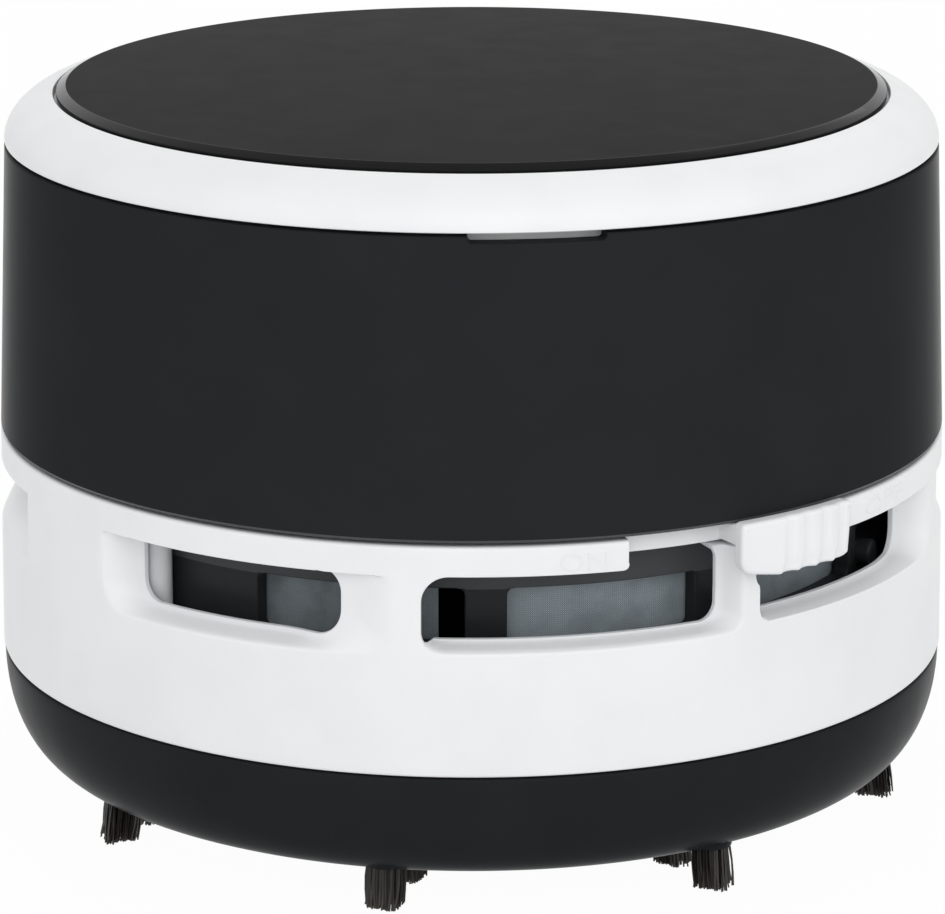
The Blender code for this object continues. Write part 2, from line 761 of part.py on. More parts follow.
def build_chassis(finish, parent):
    """The plate over the impeller, with the cells' saddles, the end walls and motor clips."""
    chassis = turned("chassis", [
        (plate_radius, plate_top), (plate_radius, plate_bottom),
        (bush_radius + fit_gap, plate_bottom), (bush_radius + fit_gap, plate_top),
    ], finish, parent)

    root = plate_top - plate_height / 2
    supports, beds = bmesh.new(), bmesh.new()
    saddle_top = cell_level - cell_radius * saddle_grip_share
    clip_inner = motor_radius + fit_gap
    for side in (-1, 1):
        for end in (-1, 1):
            middle = Vector((end * saddle_spread, side * cell_offset, 0))
            half = Vector((saddle_width / 2, cell_radius * saddle_width_share, 0))
            add_box(supports, (middle - half) + Vector((0, 0, root)),
                    (middle + half) + Vector((0, 0, saddle_top)))
        low, high = sorted((side * end_wall_face, side * (end_wall_face + thin_wall)))
        add_box(supports, (low, -end_wall_half_width, root),
                (high, end_wall_half_width, end_wall_top))
        low, high = sorted((side * clip_inner, side * (clip_inner + thin_wall)))
        add_box(supports, (low, -clip_half_width, root),
                (high, clip_half_width, plate_top + clip_height))
        add_rod(beds, cell_radius + fit_gap, (-saddle_spread - saddle_width, side * cell_offset,
                                              cell_level),
                (saddle_spread + saddle_width, side * cell_offset, cell_level))
    combine(chassis, helper_from("chassis_supports", supports), "UNION")
    combine(chassis, helper_from("chassis_beds", beds), "DIFFERENCE")

    holes = bmesh.new()
    for angle in screw_angles:
        add_cylinder(holes, screw_radius + fit_gap, plate_bottom - overrun, plate_top + overrun,
                     polar(screw_circle, angle), hole_steps)
    for start in tab_start_angles:
        add_cylinder(holes, wire_radius + fit_gap, plate_bottom - overrun, plate_top + overrun,
                     polar(wire_circle, start + tab_angle / 2), hole_steps)
    combine(chassis, helper_from("chassis_holes", holes), "DIFFERENCE")


def build_cells(finish, steel, brass, parent):
    """Two cells side by side, their springs and the contact plates."""
    profile = [(0, cell_length + cell_nub_height), (cell_nub_radius, cell_length + cell_nub_height),
               (cell_nub_radius, cell_length), (cell_radius, cell_length), (cell_radius, 0), (0, 0)]
    cell_start = -contact_face + spring_length + 2 * fit_gap
    for name, way in (("front", 1), ("rear", -1)):
        cell = turned("cell_" + name, profile, finish, parent, small_steps)
        cell.location = (way * cell_start, -way * cell_offset, cell_level)
        cell.rotation_euler.y = way * math.pi / 2

        spring = bmesh.new()
        foot = Vector((-way * (contact_face - fit_gap), -way * cell_offset, cell_level))
        add_rod(spring, spring_wide, foot, foot + Vector((way * spring_length, 0, 0)), small_steps,
                spring_narrow)
        piece_from("cell_spring_" + name, spring, steel, parent)

        contact = bmesh.new()
        middle = -way * cell_offset
        add_box(contact, (-contact_face - contact_wall, middle - contact_width / 2, contact_bottom),
                (-contact_face, middle + contact_width / 2, contact_top))
        piece_from("contact_" + name, contact, brass, parent)

    bridge = bmesh.new()
    reach = cell_offset + contact_width / 2
    add_box(bridge, (contact_face, -reach, contact_bottom),
            (contact_face + contact_wall, reach, end_wall_top))
    piece_from("contact_bridge", bridge, brass, parent)


# Motor and impeller


def motor_outline():
    """A circle with two flats."""
    for i in range(small_steps):
        angle = (i + 0.5) * 2 * math.pi / small_steps
        y = motor_radius * math.sin(angle)
        yield motor_radius * math.cos(angle), max(-motor_flat_half, min(motor_flat_half, y))


def build_motor(steel, plastic, bronze, parent, fan):
    """The can, its rear cap and bush, and the rotor on its shaft."""
    can = bmesh.new()
    add_prism(can, motor_outline(), can_bottom, can_top)
    can = piece_from("motor_can", can, steel, parent)
    hollow, hole = bmesh.new(), bmesh.new()
    add_cylinder(hollow, motor_flat_half - motor_wall, can_bottom + motor_wall, can_top + overrun)
    add_cylinder(hole, bore_radius, can_bottom - overrun, can_bottom + motor_wall + overrun,
                 steps=hole_steps)
    combine(can, helper_from("can_hollow", hollow), "DIFFERENCE")
    combine(can, helper_from("can_hole", hole), "DIFFERENCE")

    cap = bmesh.new()
    add_prism(cap, motor_outline(), endbell_bottom, endbell_top)
    cap = piece_from("motor_endbell", cap, plastic, parent)
    seat = bmesh.new()
    add_cylinder(seat, bore_radius, endbell_bottom - overrun, shaft_top + fit_gap, steps=hole_steps)
    combine(cap, helper_from("endbell_seat", seat), "DIFFERENCE")

    turned("motor_bush", band_turned(bore_radius, bush_radius, plate_top - bush_height, plate_top),
           bronze, parent, small_steps)
    turned("motor_rotor", band_turned(bore_radius, rotor_radius,
                                      can_bottom + motor_wall + rotor_margin,
                                      can_top - rotor_margin), steel, fan, small_steps)
    shaft = bmesh.new()
    add_cylinder(shaft, shaft_radius, blade_bottom, shaft_top, steps=hole_steps)
    piece_from("motor_shaft", shaft, steel, fan)


def band_turned(inner, outer, low, high):
    """A plain ring's profile, in the order that a turned piece takes."""
    return [(outer, high), (outer, low), (inner, low), (inner, high)]


def build_impeller(finish, fan):
    """A disc with a hub and straight blades below it."""
    disc_bottom = impeller_top - impeller_plate
    impeller = turned("impeller", [
        (impeller_radius, impeller_top), (impeller_radius, disc_bottom),
        (impeller_hub, disc_bottom), (impeller_hub, hub_bottom),
        (bore_radius, hub_bottom), (bore_radius, impeller_top),
    ], finish, fan, round_steps // 2)
    blades = bmesh.new()
    for i in range(blade_count):
        add_box(blades, ((bore_radius + impeller_hub) / 2, -blade_wall / 2, blade_bottom),
                (impeller_radius - blade_inset, blade_wall / 2, impeller_top - impeller_plate / 2),
                Matrix.Rotation(i * 2 * math.pi / blade_count, 4, "Z"))
    combine(impeller, helper_from("impeller_blades", blades), "UNION")


# Sleeve, lid and disc


def build_band(finish, parent):
    band = turned("body_band", [
        (band_top_radius, band_top), (ring_top_radius, band_bottom),
        (ring_top_radius - band_wall, band_bottom), (band_top_radius - band_wall, band_top),
    ], finish, parent)
    notch = bmesh.new()
    add_sector(notch, band_profile(band_top_radius - band_wall - overrun,
                                   ring_top_radius + overrun, band_top - notch_height,
                                   band_top + overrun), *notch_angles)
    combine(band, helper_from("band_notch", notch), "DIFFERENCE")


def build_lid(finish, parent):
    """The cap over the cells, with a rounded edge, a recess for the disc and a spigot."""
    spigot_inner = lid_spigot_radius - lid_spigot_wall
    spigot_bottom = lid_bottom - lid_spigot_depth
    edge = arc_points((lid_edge_centre, lid_bottom), (lid_edge_width, lid_edge_height),
                      lid_rim_angle, 0, lid_edge_steps)
    turned("battery_lid", [
        (0, recess_floor), (disc_recess_radius, recess_floor), *edge,
        (lid_spigot_radius, lid_bottom), (lid_spigot_radius, spigot_bottom),
        (spigot_inner, spigot_bottom), (spigot_inner, web_bottom), (0, web_bottom),
    ], finish, parent)


def build_disc(finish, parent):
    radius = disc_recess_radius - fit_gap
    disc_top = lid_rim + disc_proud
    turned("top_disc", [
        (0, disc_top), (radius - disc_chamfer_width, disc_top), (radius, disc_top - disc_chamfer),
        (radius, recess_floor + fit_gap), (0, recess_floor + fit_gap),
    ], finish, parent)


# Screws and wires


def build_screws(finish, parent):
    head_bottom = plate_top + fit_gap
    for i, angle in enumerate(screw_angles):
        screw = bmesh.new()
        add_cylinder(screw, screw_head_radius, head_bottom, head_bottom + screw_head_height,
                     polar(screw_circle, angle), hole_steps)
        piece = piece_from("housing_screw_%d" % (i + 1), screw, finish, parent)
        shank = bmesh.new()
        add_cylinder(shank, screw_radius, screw_tip, head_bottom + screw_head_height / 2,
                     polar(screw_circle, angle), hole_steps)
        combine(piece, helper_from("screw_shank_%d" % (i + 1), shank), "UNION")


def smooth_route(points):
    """Points along a smooth curve through a wire's own points."""
    route = []
    for i in range(len(points) - 1):
        before, start, end, after = (points[max(0, min(len(points) - 1, i + k))]
                                     for k in (-1, 0, 1, 2))
        pull = (end - before) * wire_pull_share, (after - start) * wire_pull_share
        for step in range(wire_steps):
            t = step / wire_steps
            a, b, c, d = (1 - t) ** 3, 3 * t * (1 - t) ** 2, 3 * t * t * (1 - t), t ** 3
            route.append(start * a + (start + pull[0]) * b + (end - pull[1]) * c + end * d)
    route.append(points[-1])
    return route


def build_wire(name, points, finish, parent):
    """A round wire along a smooth curve, with its ends closed."""
    curve = bpy.data.curves.new(name, "CURVE")
    curve.dimensions = "3D"
    curve.bevel_depth = wire_radius
    curve.bevel_resolution = 1
    curve.use_fill_caps = True
    route = smooth_route([Vector(point) for point in points])
    spline = curve.splines.new("POLY")
    spline.points.add(len(route) - 1)
    for point, place_at in zip(spline.points, route):
        point.co = (*place_at, 1)
    guide = bpy.data.objects.new(name + "_guide", curve)
    helpers.objects.link(guide)
    bpy.context.view_layer.update()
    swept = bmesh.new()
    swept.from_mesh(bpy.data.meshes.new_from_object(guide))
    bpy.data.objects.remove(guide)
    bmesh.ops.remove_doubles(swept, verts=swept.verts, dist=merge_gap)
    piece_from(name, swept, finish, parent)


def build_wires(red, black, parent):
    """From the contacts and the switch's tabs to each other and to the motor."""
    tail = -contact_face - contact_wall / 2
    tail_top = contact_top + fit_gap
    tail_bend = tail_top + wire_bend / 2
    tab_a, tab_b = (polar(wire_circle, start + tab_angle / 2) for start in tab_start_angles)
    tab_level = tab_top + fit_gap
    build_wire("wire_minus", [
        (tail, -cell_offset, tail_top), (tail, -cell_offset, tail_bend),
        (tail + wire_bend, -cell_offset, wire_level), (-motor_radius, -motor_flat_half, wire_level),
        (-motor_flat_half, -motor_flat_half / 2, wire_level),
    ], black, parent)
    build_wire("wire_switch", [
        (tab_b.x, tab_b.y, tab_level), (tab_b.x, tab_b.y, wire_level - wire_bend),
        (tab_b.x - wire_bend, tab_b.y + wire_bend, wire_level),
        (motor_radius, -motor_flat_half, wire_level),
        (motor_flat_half, -motor_flat_half / 2, wire_level),
    ], red, parent)
    ring_points = [(-wire_ring * math.cos(angle), -wire_ring * math.sin(angle), wire_level)
                   for angle in wire_ring_angles]
    build_wire("wire_plus", [
        (tail, cell_offset, tail_top), (tail, cell_offset, tail_bend),
        (tail - wire_bend, cell_offset - wire_bend, wire_level), *ring_points,
        (tab_a.x - wire_bend, tab_a.y - wire_bend / 4, wire_level),
        (tab_a.x, tab_a.y, wire_level - wire_bend), (tab_a.x, tab_a.y, tab_level),
    ], red, parent)


# Start from an empty scene
for old in list(bpy.data.objects):
    bpy.data.objects.remove(old)

parts = collection("desk_vacuum")
helpers = collection("cutters")

white = material("white plastic", (0.82, 0.83, 0.83), 0.35)
gloss_black = material("gloss black plastic", (0.028, 0.03, 0.031), 0.12)
matt_black = material("matt black plastic", (0.035, 0.036, 0.038), 0.5)
disc_black = material("satin black inlay", (0.045, 0.047, 0.05), 0.4)
bristle = material("dark bristle", (0.022, 0.017, 0.014), 0.6)
weave = material("grey woven mesh", (0.16, 0.18, 0.19), 0.7)
grey = material("grey plastic", (0.35, 0.36, 0.37), 0.4)
steel = material("zinc plated steel", (0.6, 0.61, 0.62), 0.35, 1.0)
brass = material("nickelled brass", (0.72, 0.66, 0.5), 0.3, 1.0)
bronze = material("sintered bronze", (0.55, 0.4, 0.22), 0.5, 1.0)
cell_wrap = material("cell wrapper", (0.09, 0.2, 0.12), 0.4)
red_sheath = material("red wire sheath", (0.5, 0.03, 0.02), 0.5)
black_sheath = material("black wire sheath", (0.02, 0.02, 0.02), 0.5)

housing = pivot("housing")
base_pivot = pivot("base_pivot", housing)
switch_pivot = pivot("switch_pivot", housing)
fan_pivot = pivot("fan_pivot", housing)
lid_pivot = pivot("lid_pivot", housing)

build_base_cover(matt_black, base_pivot)
build_suction_inlet(matt_black, base_pivot)
build_tufts(bristle, base_pivot)
build_vent_ring(white, housing)
build_switch(white, brass, switch_pivot, housing)
build_filter(matt_black, weave, housing)
build_chassis(grey, housing)
build_cells(cell_wrap, steel, brass, housing)
build_motor(steel, grey, bronze, housing, fan_pivot)
build_impeller(grey, fan_pivot)
build_band(gloss_black, housing)
build_lid(white, lid_pivot)
build_disc(disc_black, lid_pivot)
build_screws(steel, housing)
build_wires(red_sheath, black_sheath, housing)
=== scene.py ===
"""Looks of a round desktop mini vacuum cleaner, built round its packed assembly.

Metres, +Z up, origin on the upright axis at the level of the brush tips. Angles are
measured from -Y, where the switch is, towards +X.
"""

import logging
import math
import random
from dataclasses import dataclass, field
from enum import Enum
from typing import Any, Callable, Iterable, Mapping, Sequence

import bmesh
import bpy
from mathutils import Matrix, Vector

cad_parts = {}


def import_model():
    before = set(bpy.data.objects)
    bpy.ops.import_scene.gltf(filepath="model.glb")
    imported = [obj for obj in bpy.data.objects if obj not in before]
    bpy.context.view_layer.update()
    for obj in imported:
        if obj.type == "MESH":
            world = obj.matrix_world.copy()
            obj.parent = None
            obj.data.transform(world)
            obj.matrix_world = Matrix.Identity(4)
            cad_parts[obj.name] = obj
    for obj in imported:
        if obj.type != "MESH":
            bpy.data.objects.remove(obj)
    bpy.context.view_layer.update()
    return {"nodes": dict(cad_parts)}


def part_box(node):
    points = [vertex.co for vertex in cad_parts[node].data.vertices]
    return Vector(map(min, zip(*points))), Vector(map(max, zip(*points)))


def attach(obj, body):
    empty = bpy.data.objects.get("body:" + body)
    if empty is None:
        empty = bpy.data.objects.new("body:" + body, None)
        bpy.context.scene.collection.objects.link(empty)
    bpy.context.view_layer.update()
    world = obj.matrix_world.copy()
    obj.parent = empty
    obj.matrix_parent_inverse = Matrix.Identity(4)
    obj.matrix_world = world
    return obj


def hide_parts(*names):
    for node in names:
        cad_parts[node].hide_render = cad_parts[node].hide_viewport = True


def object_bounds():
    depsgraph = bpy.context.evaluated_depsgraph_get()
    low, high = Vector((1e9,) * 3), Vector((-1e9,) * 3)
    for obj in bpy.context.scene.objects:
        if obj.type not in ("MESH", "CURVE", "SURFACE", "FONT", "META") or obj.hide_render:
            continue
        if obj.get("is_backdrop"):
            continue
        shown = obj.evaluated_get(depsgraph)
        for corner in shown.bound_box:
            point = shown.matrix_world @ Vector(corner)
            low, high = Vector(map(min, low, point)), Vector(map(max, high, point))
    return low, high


MM = 0.001
DEG = math.pi / 180
TINY = 1e-7

log = logging.getLogger("vacuum")

Colour = tuple[float, float, float]
Spot = tuple[float, float]
Triple = tuple[float, float, float]
Corners = tuple[float, float, float, float]
Field = Callable[[float, float], float]


class Body(str, Enum):
    """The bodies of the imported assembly."""

    HOUSING = "housing"
    BASE = "base"
    SWITCH = "switch"
    FAN = "fan"
    LID = "lid"


# Shader nodes


def linear(colour: Colour) -> tuple[float, float, float, float]:
    """Turns a colour as seen on a screen into the shader's own scale.

    Args:
        colour: red, green and blue from 0 to 255.

    Returns:
        The linear colour with an alpha of one.
    """
    shares = [c / 255 for c in colour]
    made = [s / 12.92 if s <= 0.04045 else ((s + 0.055) / 1.055) ** 2.4 for s in shares]
    return made[0], made[1], made[2], 1.0


class Value:
    """A number socket that Python's arithmetic can be used on."""

    def __init__(self, nodes: "Nodes", socket: bpy.types.NodeSocket) -> None:
        """Wraps one output socket."""
        self.nodes = nodes
        self.socket = socket

    def _with(self, operation: str, *terms: Any) -> "Value":
        """Adds the Math node of an operation on the given terms."""
        return self.nodes.value("ShaderNodeMath", {"operation": operation},
                                dict(enumerate(terms)))

    def __add__(self, other: Any) -> "Value":
        """Sum."""
        return self._with("ADD", self, other)

    def __sub__(self, other: Any) -> "Value":
        """Difference."""
        return self._with("SUBTRACT", self, other)

    def __rsub__(self, other: Any) -> "Value":
        """Difference from a number on the left."""
        return self._with("SUBTRACT", other, self)

    def __mul__(self, other: Any) -> "Value":
        """Product."""
        return self._with("MULTIPLY", self, other)

    def __pow__(self, other: Any) -> "Value":
        """Power."""
        return self._with("POWER", self, other)

    def wave(self) -> "Value":
        """The sine of the value."""
        return self._with("SINE", self)

    def size(self) -> "Value":
        """The value without its sign."""
        return self._with("ABSOLUTE", self)

    def angle_of(self, other: Any) -> "Value":
        """The angle whose sine part is this value and whose cosine part is the other."""
        return self._with("ARCTAN2", self, other)

    def least(self, other: Any) -> "Value":
        """The smaller of two values."""
        return self._with("MINIMUM", self, other)

    def step(self, low: float, high: float) -> "Value":
        """A soft step from zero at the low value to one at the high value."""
        return self.nodes.value(
            "ShaderNodeMapRange", {"interpolation_type": "SMOOTHSTEP"},
            {"Value": self, "From Min": low, "From Max": high, "To Min": 0.0, "To Max": 1.0})


class Nodes:
    """The node tree of one finish."""

    def __init__(self, name: str) -> None:
        """Starts a material with a Principled shader.

        Args:
            name: the material's name.
        """
        self.material = bpy.data.materials.new(name)
        self.material.use_nodes = True
        self.tree = self.material.node_tree
        self.tree.nodes.clear()
        self.shader = self.add("ShaderNodeBsdfPrincipled")
        self.output = self.add("ShaderNodeOutputMaterial")
        self.tree.links.new(self.shader.outputs[0], self.output.inputs[0])
        self._place: bpy.types.Node | None = None

    def add(self, kind: str, settings: Mapping[str, Any] | None = None,
            inputs: Mapping[Any, Any] | None = None) -> bpy.types.Node:
        """Adds one node.

        Args:
            kind: the node's type name.
            settings: properties set before the sockets.
            inputs: values or links by the socket's name or number.

        Returns:
            The new node.
        """
        node = self.tree.nodes.new(kind)
        for name, setting in (settings or {}).items():
            setattr(node, name, setting)
        for name, given in (inputs or {}).items():
            self.feed(node.inputs[name], given)
        return node

    def feed(self, socket: bpy.types.NodeSocket, given: Any) -> None:
        """Sets a socket to a plain value or links it.

        Args:
            socket: the input.
            given: a number, a colour, a Value or an output.
        """
        if isinstance(given, Value):
            given = given.socket
        if isinstance(given, bpy.types.NodeSocket):
            self.tree.links.new(given, socket)
        else:
            socket.default_value = given

    def value(self, kind: str, settings: Mapping[str, Any] | None = None,
              inputs: Mapping[Any, Any] | None = None, output: Any = 0) -> Value:
        """Adds a node and wraps one of its outputs.

        Args:
            kind: the node's type name.
            settings: properties set before the sockets.
            inputs: values or links by the socket's name or number.
            output: the name or number of the output.

        Returns:
            The output as a value.
        """
        return Value(self, self.add(kind, settings, inputs).outputs[output])

    def set(self, **constants: Any) -> None:
        """Sets the shader's own sockets, with spaces written as underscores."""
        for name, given in constants.items():
            self.feed(self.shader.inputs[name.replace("_", " ")], given)

    def place(self) -> bpy.types.NodeSocket:
        """The object coordinates, shared by every texture of the finish."""
        if self._place is None:
            self._place = self.add("ShaderNodeTexCoord")
        return self._place.outputs["Object"]

    def noise(self, size: float, detail: float = 2.0, stretch: Triple | None = None) -> Value:
        """Noise of a given grain.

        Args:
            size: the grain in metres.
            detail: octaves of finer noise.
            stretch: scale of the coordinates along the axes.

        Returns:
            The noise, from zero to one.
        """
        at = self.place()
        if stretch:
            at = self.add("ShaderNodeMapping", {}, {"Vector": at, "Scale": stretch}).outputs[0]
        return self.value("ShaderNodeTexNoise", {},
                          {"Vector": at, "Scale": 1 / size, "Detail": detail})

    def blend(self, share: Any, first: Any, second: Any) -> bpy.types.NodeSocket:
        """Mixes two colours.

        Args:
            share: how much of the second shows.
            first: a link, or a colour as seen.
            second: the same for the other colour.

        Returns:
            The mixed colour.
        """
        first = first if isinstance(first, bpy.types.NodeSocket) else linear(first)
        second = second if isinstance(second, bpy.types.NodeSocket) else linear(second)
        return self.add("ShaderNodeMix", {"data_type": "RGBA"},
                        {0: share, 6: first, 7: second}).outputs[2]

    def bump(self, height: Value, depth: float, strength: float = 1.0) -> None:
        """Raises the surface by a height.

        Args:
            height: from zero to one.
            depth: the rise in metres at a height of one.
            strength: how much of it shows.
        """
        self.set(Normal=self.add("ShaderNodeBump", {}, {
            "Height": height, "Distance": depth, "Strength": strength}).outputs[0])

    def axes(self) -> tuple[Value, ...]:
        """The three object coordinates as values."""
        split = self.add("ShaderNodeSeparateXYZ", {}, {0: self.place()})
        return tuple(Value(self, output) for output in split.outputs)


# Finishes


@dataclass(frozen=True)
class Moulded:
    """Moulded plastic: fine grain, slight flow marks, a little handling and, if a shade is given,
    painted shade in recesses.

    Attributes:
        name: the material's name.
        colour: the body colour as seen.
        tint: the colour that the flow marks lean to.
        roughness: the middle roughness.
        smear: how far handling moves the roughness.
        grain: size of the mould's grain in metres.
        relief: depth of the grain in metres.
        specular: strength of the plain reflection.
        shade: painted shade, a darker colour that faces sunk below the plain ring lean to.
        shade_radii: the radii at which that painted shade starts and is complete.
    """

    name: str
    colour: Colour
    tint: Colour
    roughness: float
    smear: float
    grain: float = 0.25 * MM
    relief: float = 0.004 * MM
    specular: float = 0.5
    shade: Colour | None = None
    shade_radii: Spot = (41.75 * MM, 39.2 * MM)

    def build(self) -> bpy.types.Material:
        """Makes the material."""
        nodes = Nodes(self.name)
        flow = nodes.noise(9 * MM, 3.0)
        touch = nodes.noise(3.5 * MM, 4.0)
        fine = nodes.noise(self.grain, 2.0)
        specks = fine.step(0.66, 0.78)
        tone = nodes.blend(flow.step(0.35, 0.7) * 0.7 + specks * 0.25, self.colour, self.tint)
        # Painted shade: the deeper a face lies below the plain ring, the more it leans to the
        # shade colour.
        if self.shade:
            x, y, _ = nodes.axes()
            reach = (x * x + y * y) ** 0.5
            start, full = self.shade_radii
            tone = nodes.blend(1.0 - reach.step(full, start), tone, self.shade)
        nodes.set(Base_Color=tone,
                  Roughness=touch.step(0.3, 0.75) * self.smear + fine * (self.smear / 3)
                  + (self.roughness - self.smear / 2),
                  Specular_IOR_Level=self.specular)
        nodes.bump(fine * 0.7 + touch * 0.3, self.relief)
        return nodes.material


@dataclass(frozen=True)
class Metal:
    """Plain or plated metal with fine drawing marks along one axis.

    Attributes:
        name: the material's name.
        colour: the colour of the clean metal.
        stain: the colour of its duller patches.
        roughness: the middle roughness.
        stretch: scale of the marks along the axes.
        pores: size of the grains of sintered metal, or zero.
    """

    name: str
    colour: Colour
    stain: Colour
    roughness: float
    stretch: Triple = (1.0, 1.0, 0.05)
    pores: float = 0.0

    def build(self) -> bpy.types.Material:
        """Makes the material."""
        nodes = Nodes(self.name)
        marks = nodes.noise(0.12 * MM, 3.0, self.stretch)
        clouds = nodes.noise(2.2 * MM, 4.0)
        tone = nodes.blend(clouds.step(0.4, 0.8) * 0.6, self.colour, self.stain)
        nodes.set(Base_Color=tone, Metallic=1.0,
                  Roughness=marks * 0.12 + clouds * 0.1 + (self.roughness - 0.11))
        height = marks
        if self.pores:
            grains = nodes.value("ShaderNodeTexVoronoi", {},
                                 {"Vector": nodes.place(), "Scale": 1 / self.pores})
            height = grains * 0.8 + marks * 0.2
        nodes.bump(height, 0.006 * MM)
        return nodes.material


@dataclass(frozen=True)
class Woven:
    """Fine filter cloth, whose threads run both ways across the upright.

    Attributes:
        name: the material's name.
        thread: colour of the threads.
        gap: colour between them.
        dust_and_shade: colour of the dusty patches, and of the painted shade on one side.
        radius: the cloth's outer radius.
        pitch: distance between two threads.
        painted_shade_ends: where the painted shade on one side fades out, along the cloth.
    """

    name: str = "filter_cloth"
    thread: Colour = (184, 196, 203)
    gap: Colour = (58, 64, 68)
    dust_and_shade: Colour = (84, 90, 93)
    radius: float = 34.9 * MM
    pitch: float = 0.36 * MM
    painted_shade_ends: Spot = (-3 * MM, 3 * MM)

    def build(self) -> bpy.types.Material:
        """Makes the material."""
        nodes = Nodes(self.name)
        x, y, z = nodes.axes()
        way = x.angle_of(y * -1.0) * self.radius
        turn = 2 * math.pi / self.pitch
        warp = ((way + z) * turn).wave()
        weft = ((way - z) * turn).wave()
        over = (warp * weft) * 0.5 + 0.5
        hole = (warp.size().least(weft.size())).step(0.12, 0.42)
        dust_and_shade = nodes.noise(2.6 * MM, 4.0)
        tone = nodes.blend(hole * 0.7 + over * 0.3, self.gap, self.thread)
        # Random dusty patches, plus painted shade that darkens the cloth left of the front.
        dust_and_painted_shade = dust_and_shade.step(0.42, 0.75) * 0.3 + (1.0 - way.step(*self.painted_shade_ends)) * 0.4
        tone = nodes.blend(dust_and_painted_shade, tone, self.dust_and_shade)
        nodes.set(Base_Color=tone, Roughness=over * 0.2 + 0.55, Specular_IOR_Level=0.3)
        nodes.bump(hole * 0.6 + over * 0.4, 0.05 * MM, 0.8)
        return nodes.material


@dataclass(frozen=True)
class Bristle:
    """Dark nylon bristle, a little browner and duller towards the tips."""

    name: str = "bristle_nylon"
    root: Colour = (22, 20, 19)
    tip: Colour = (58, 52, 47)
    length: float = 4.0 * MM

    def build(self) -> bpy.types.Material:
        """Makes the material."""
        nodes = Nodes(self.name)
        _, _, z = nodes.axes()
        low = 1.0 - z.step(0.0, self.length)
        strand = nodes.noise(0.35 * MM, 1.0, (1.0, 1.0, 0.08))
        tone = nodes.blend(low * 0.45 + strand.step(0.35, 0.75) * 0.5, self.root, self.tip)
        nodes.set(Base_Color=tone, Roughness=strand * 0.2 + 0.38, Specular_IOR_Level=0.4)
        nodes.bump(strand, 0.01 * MM)
        return nodes.material


@dataclass(frozen=True)
class Wrapper:
    """Printed film round a dry cell: a dark body with a plain band near one end."""

    name: str
    body: Colour
    band: Colour
    band_at: float
    band_end: float
    soft: float = 0.15 * MM

    def build(self) -> bpy.types.Material:
        """Makes the material."""
        nodes = Nodes(self.name)
        x, _, _ = nodes.axes()
        low, high = sorted((self.band_at, self.band_end))
        inside = (x.step(low - self.soft, low + self.soft)
                  * (1.0 - x.step(high - self.soft, high + self.soft)))
        film = nodes.noise(6 * MM, 2.0, (0.2, 1.0, 1.0))
        tone = nodes.blend(film * 0.4, self.body, tuple(c * 0.8 for c in self.body))
        nodes.set(Base_Color=nodes.blend(inside, tone, self.band),
                  Metallic=inside * 0.55, Roughness=film * 0.1 + 0.24, Coat_Weight=0.4,
                  Coat_Roughness=0.1)
        nodes.bump(film, 0.02 * MM)
        return nodes.material


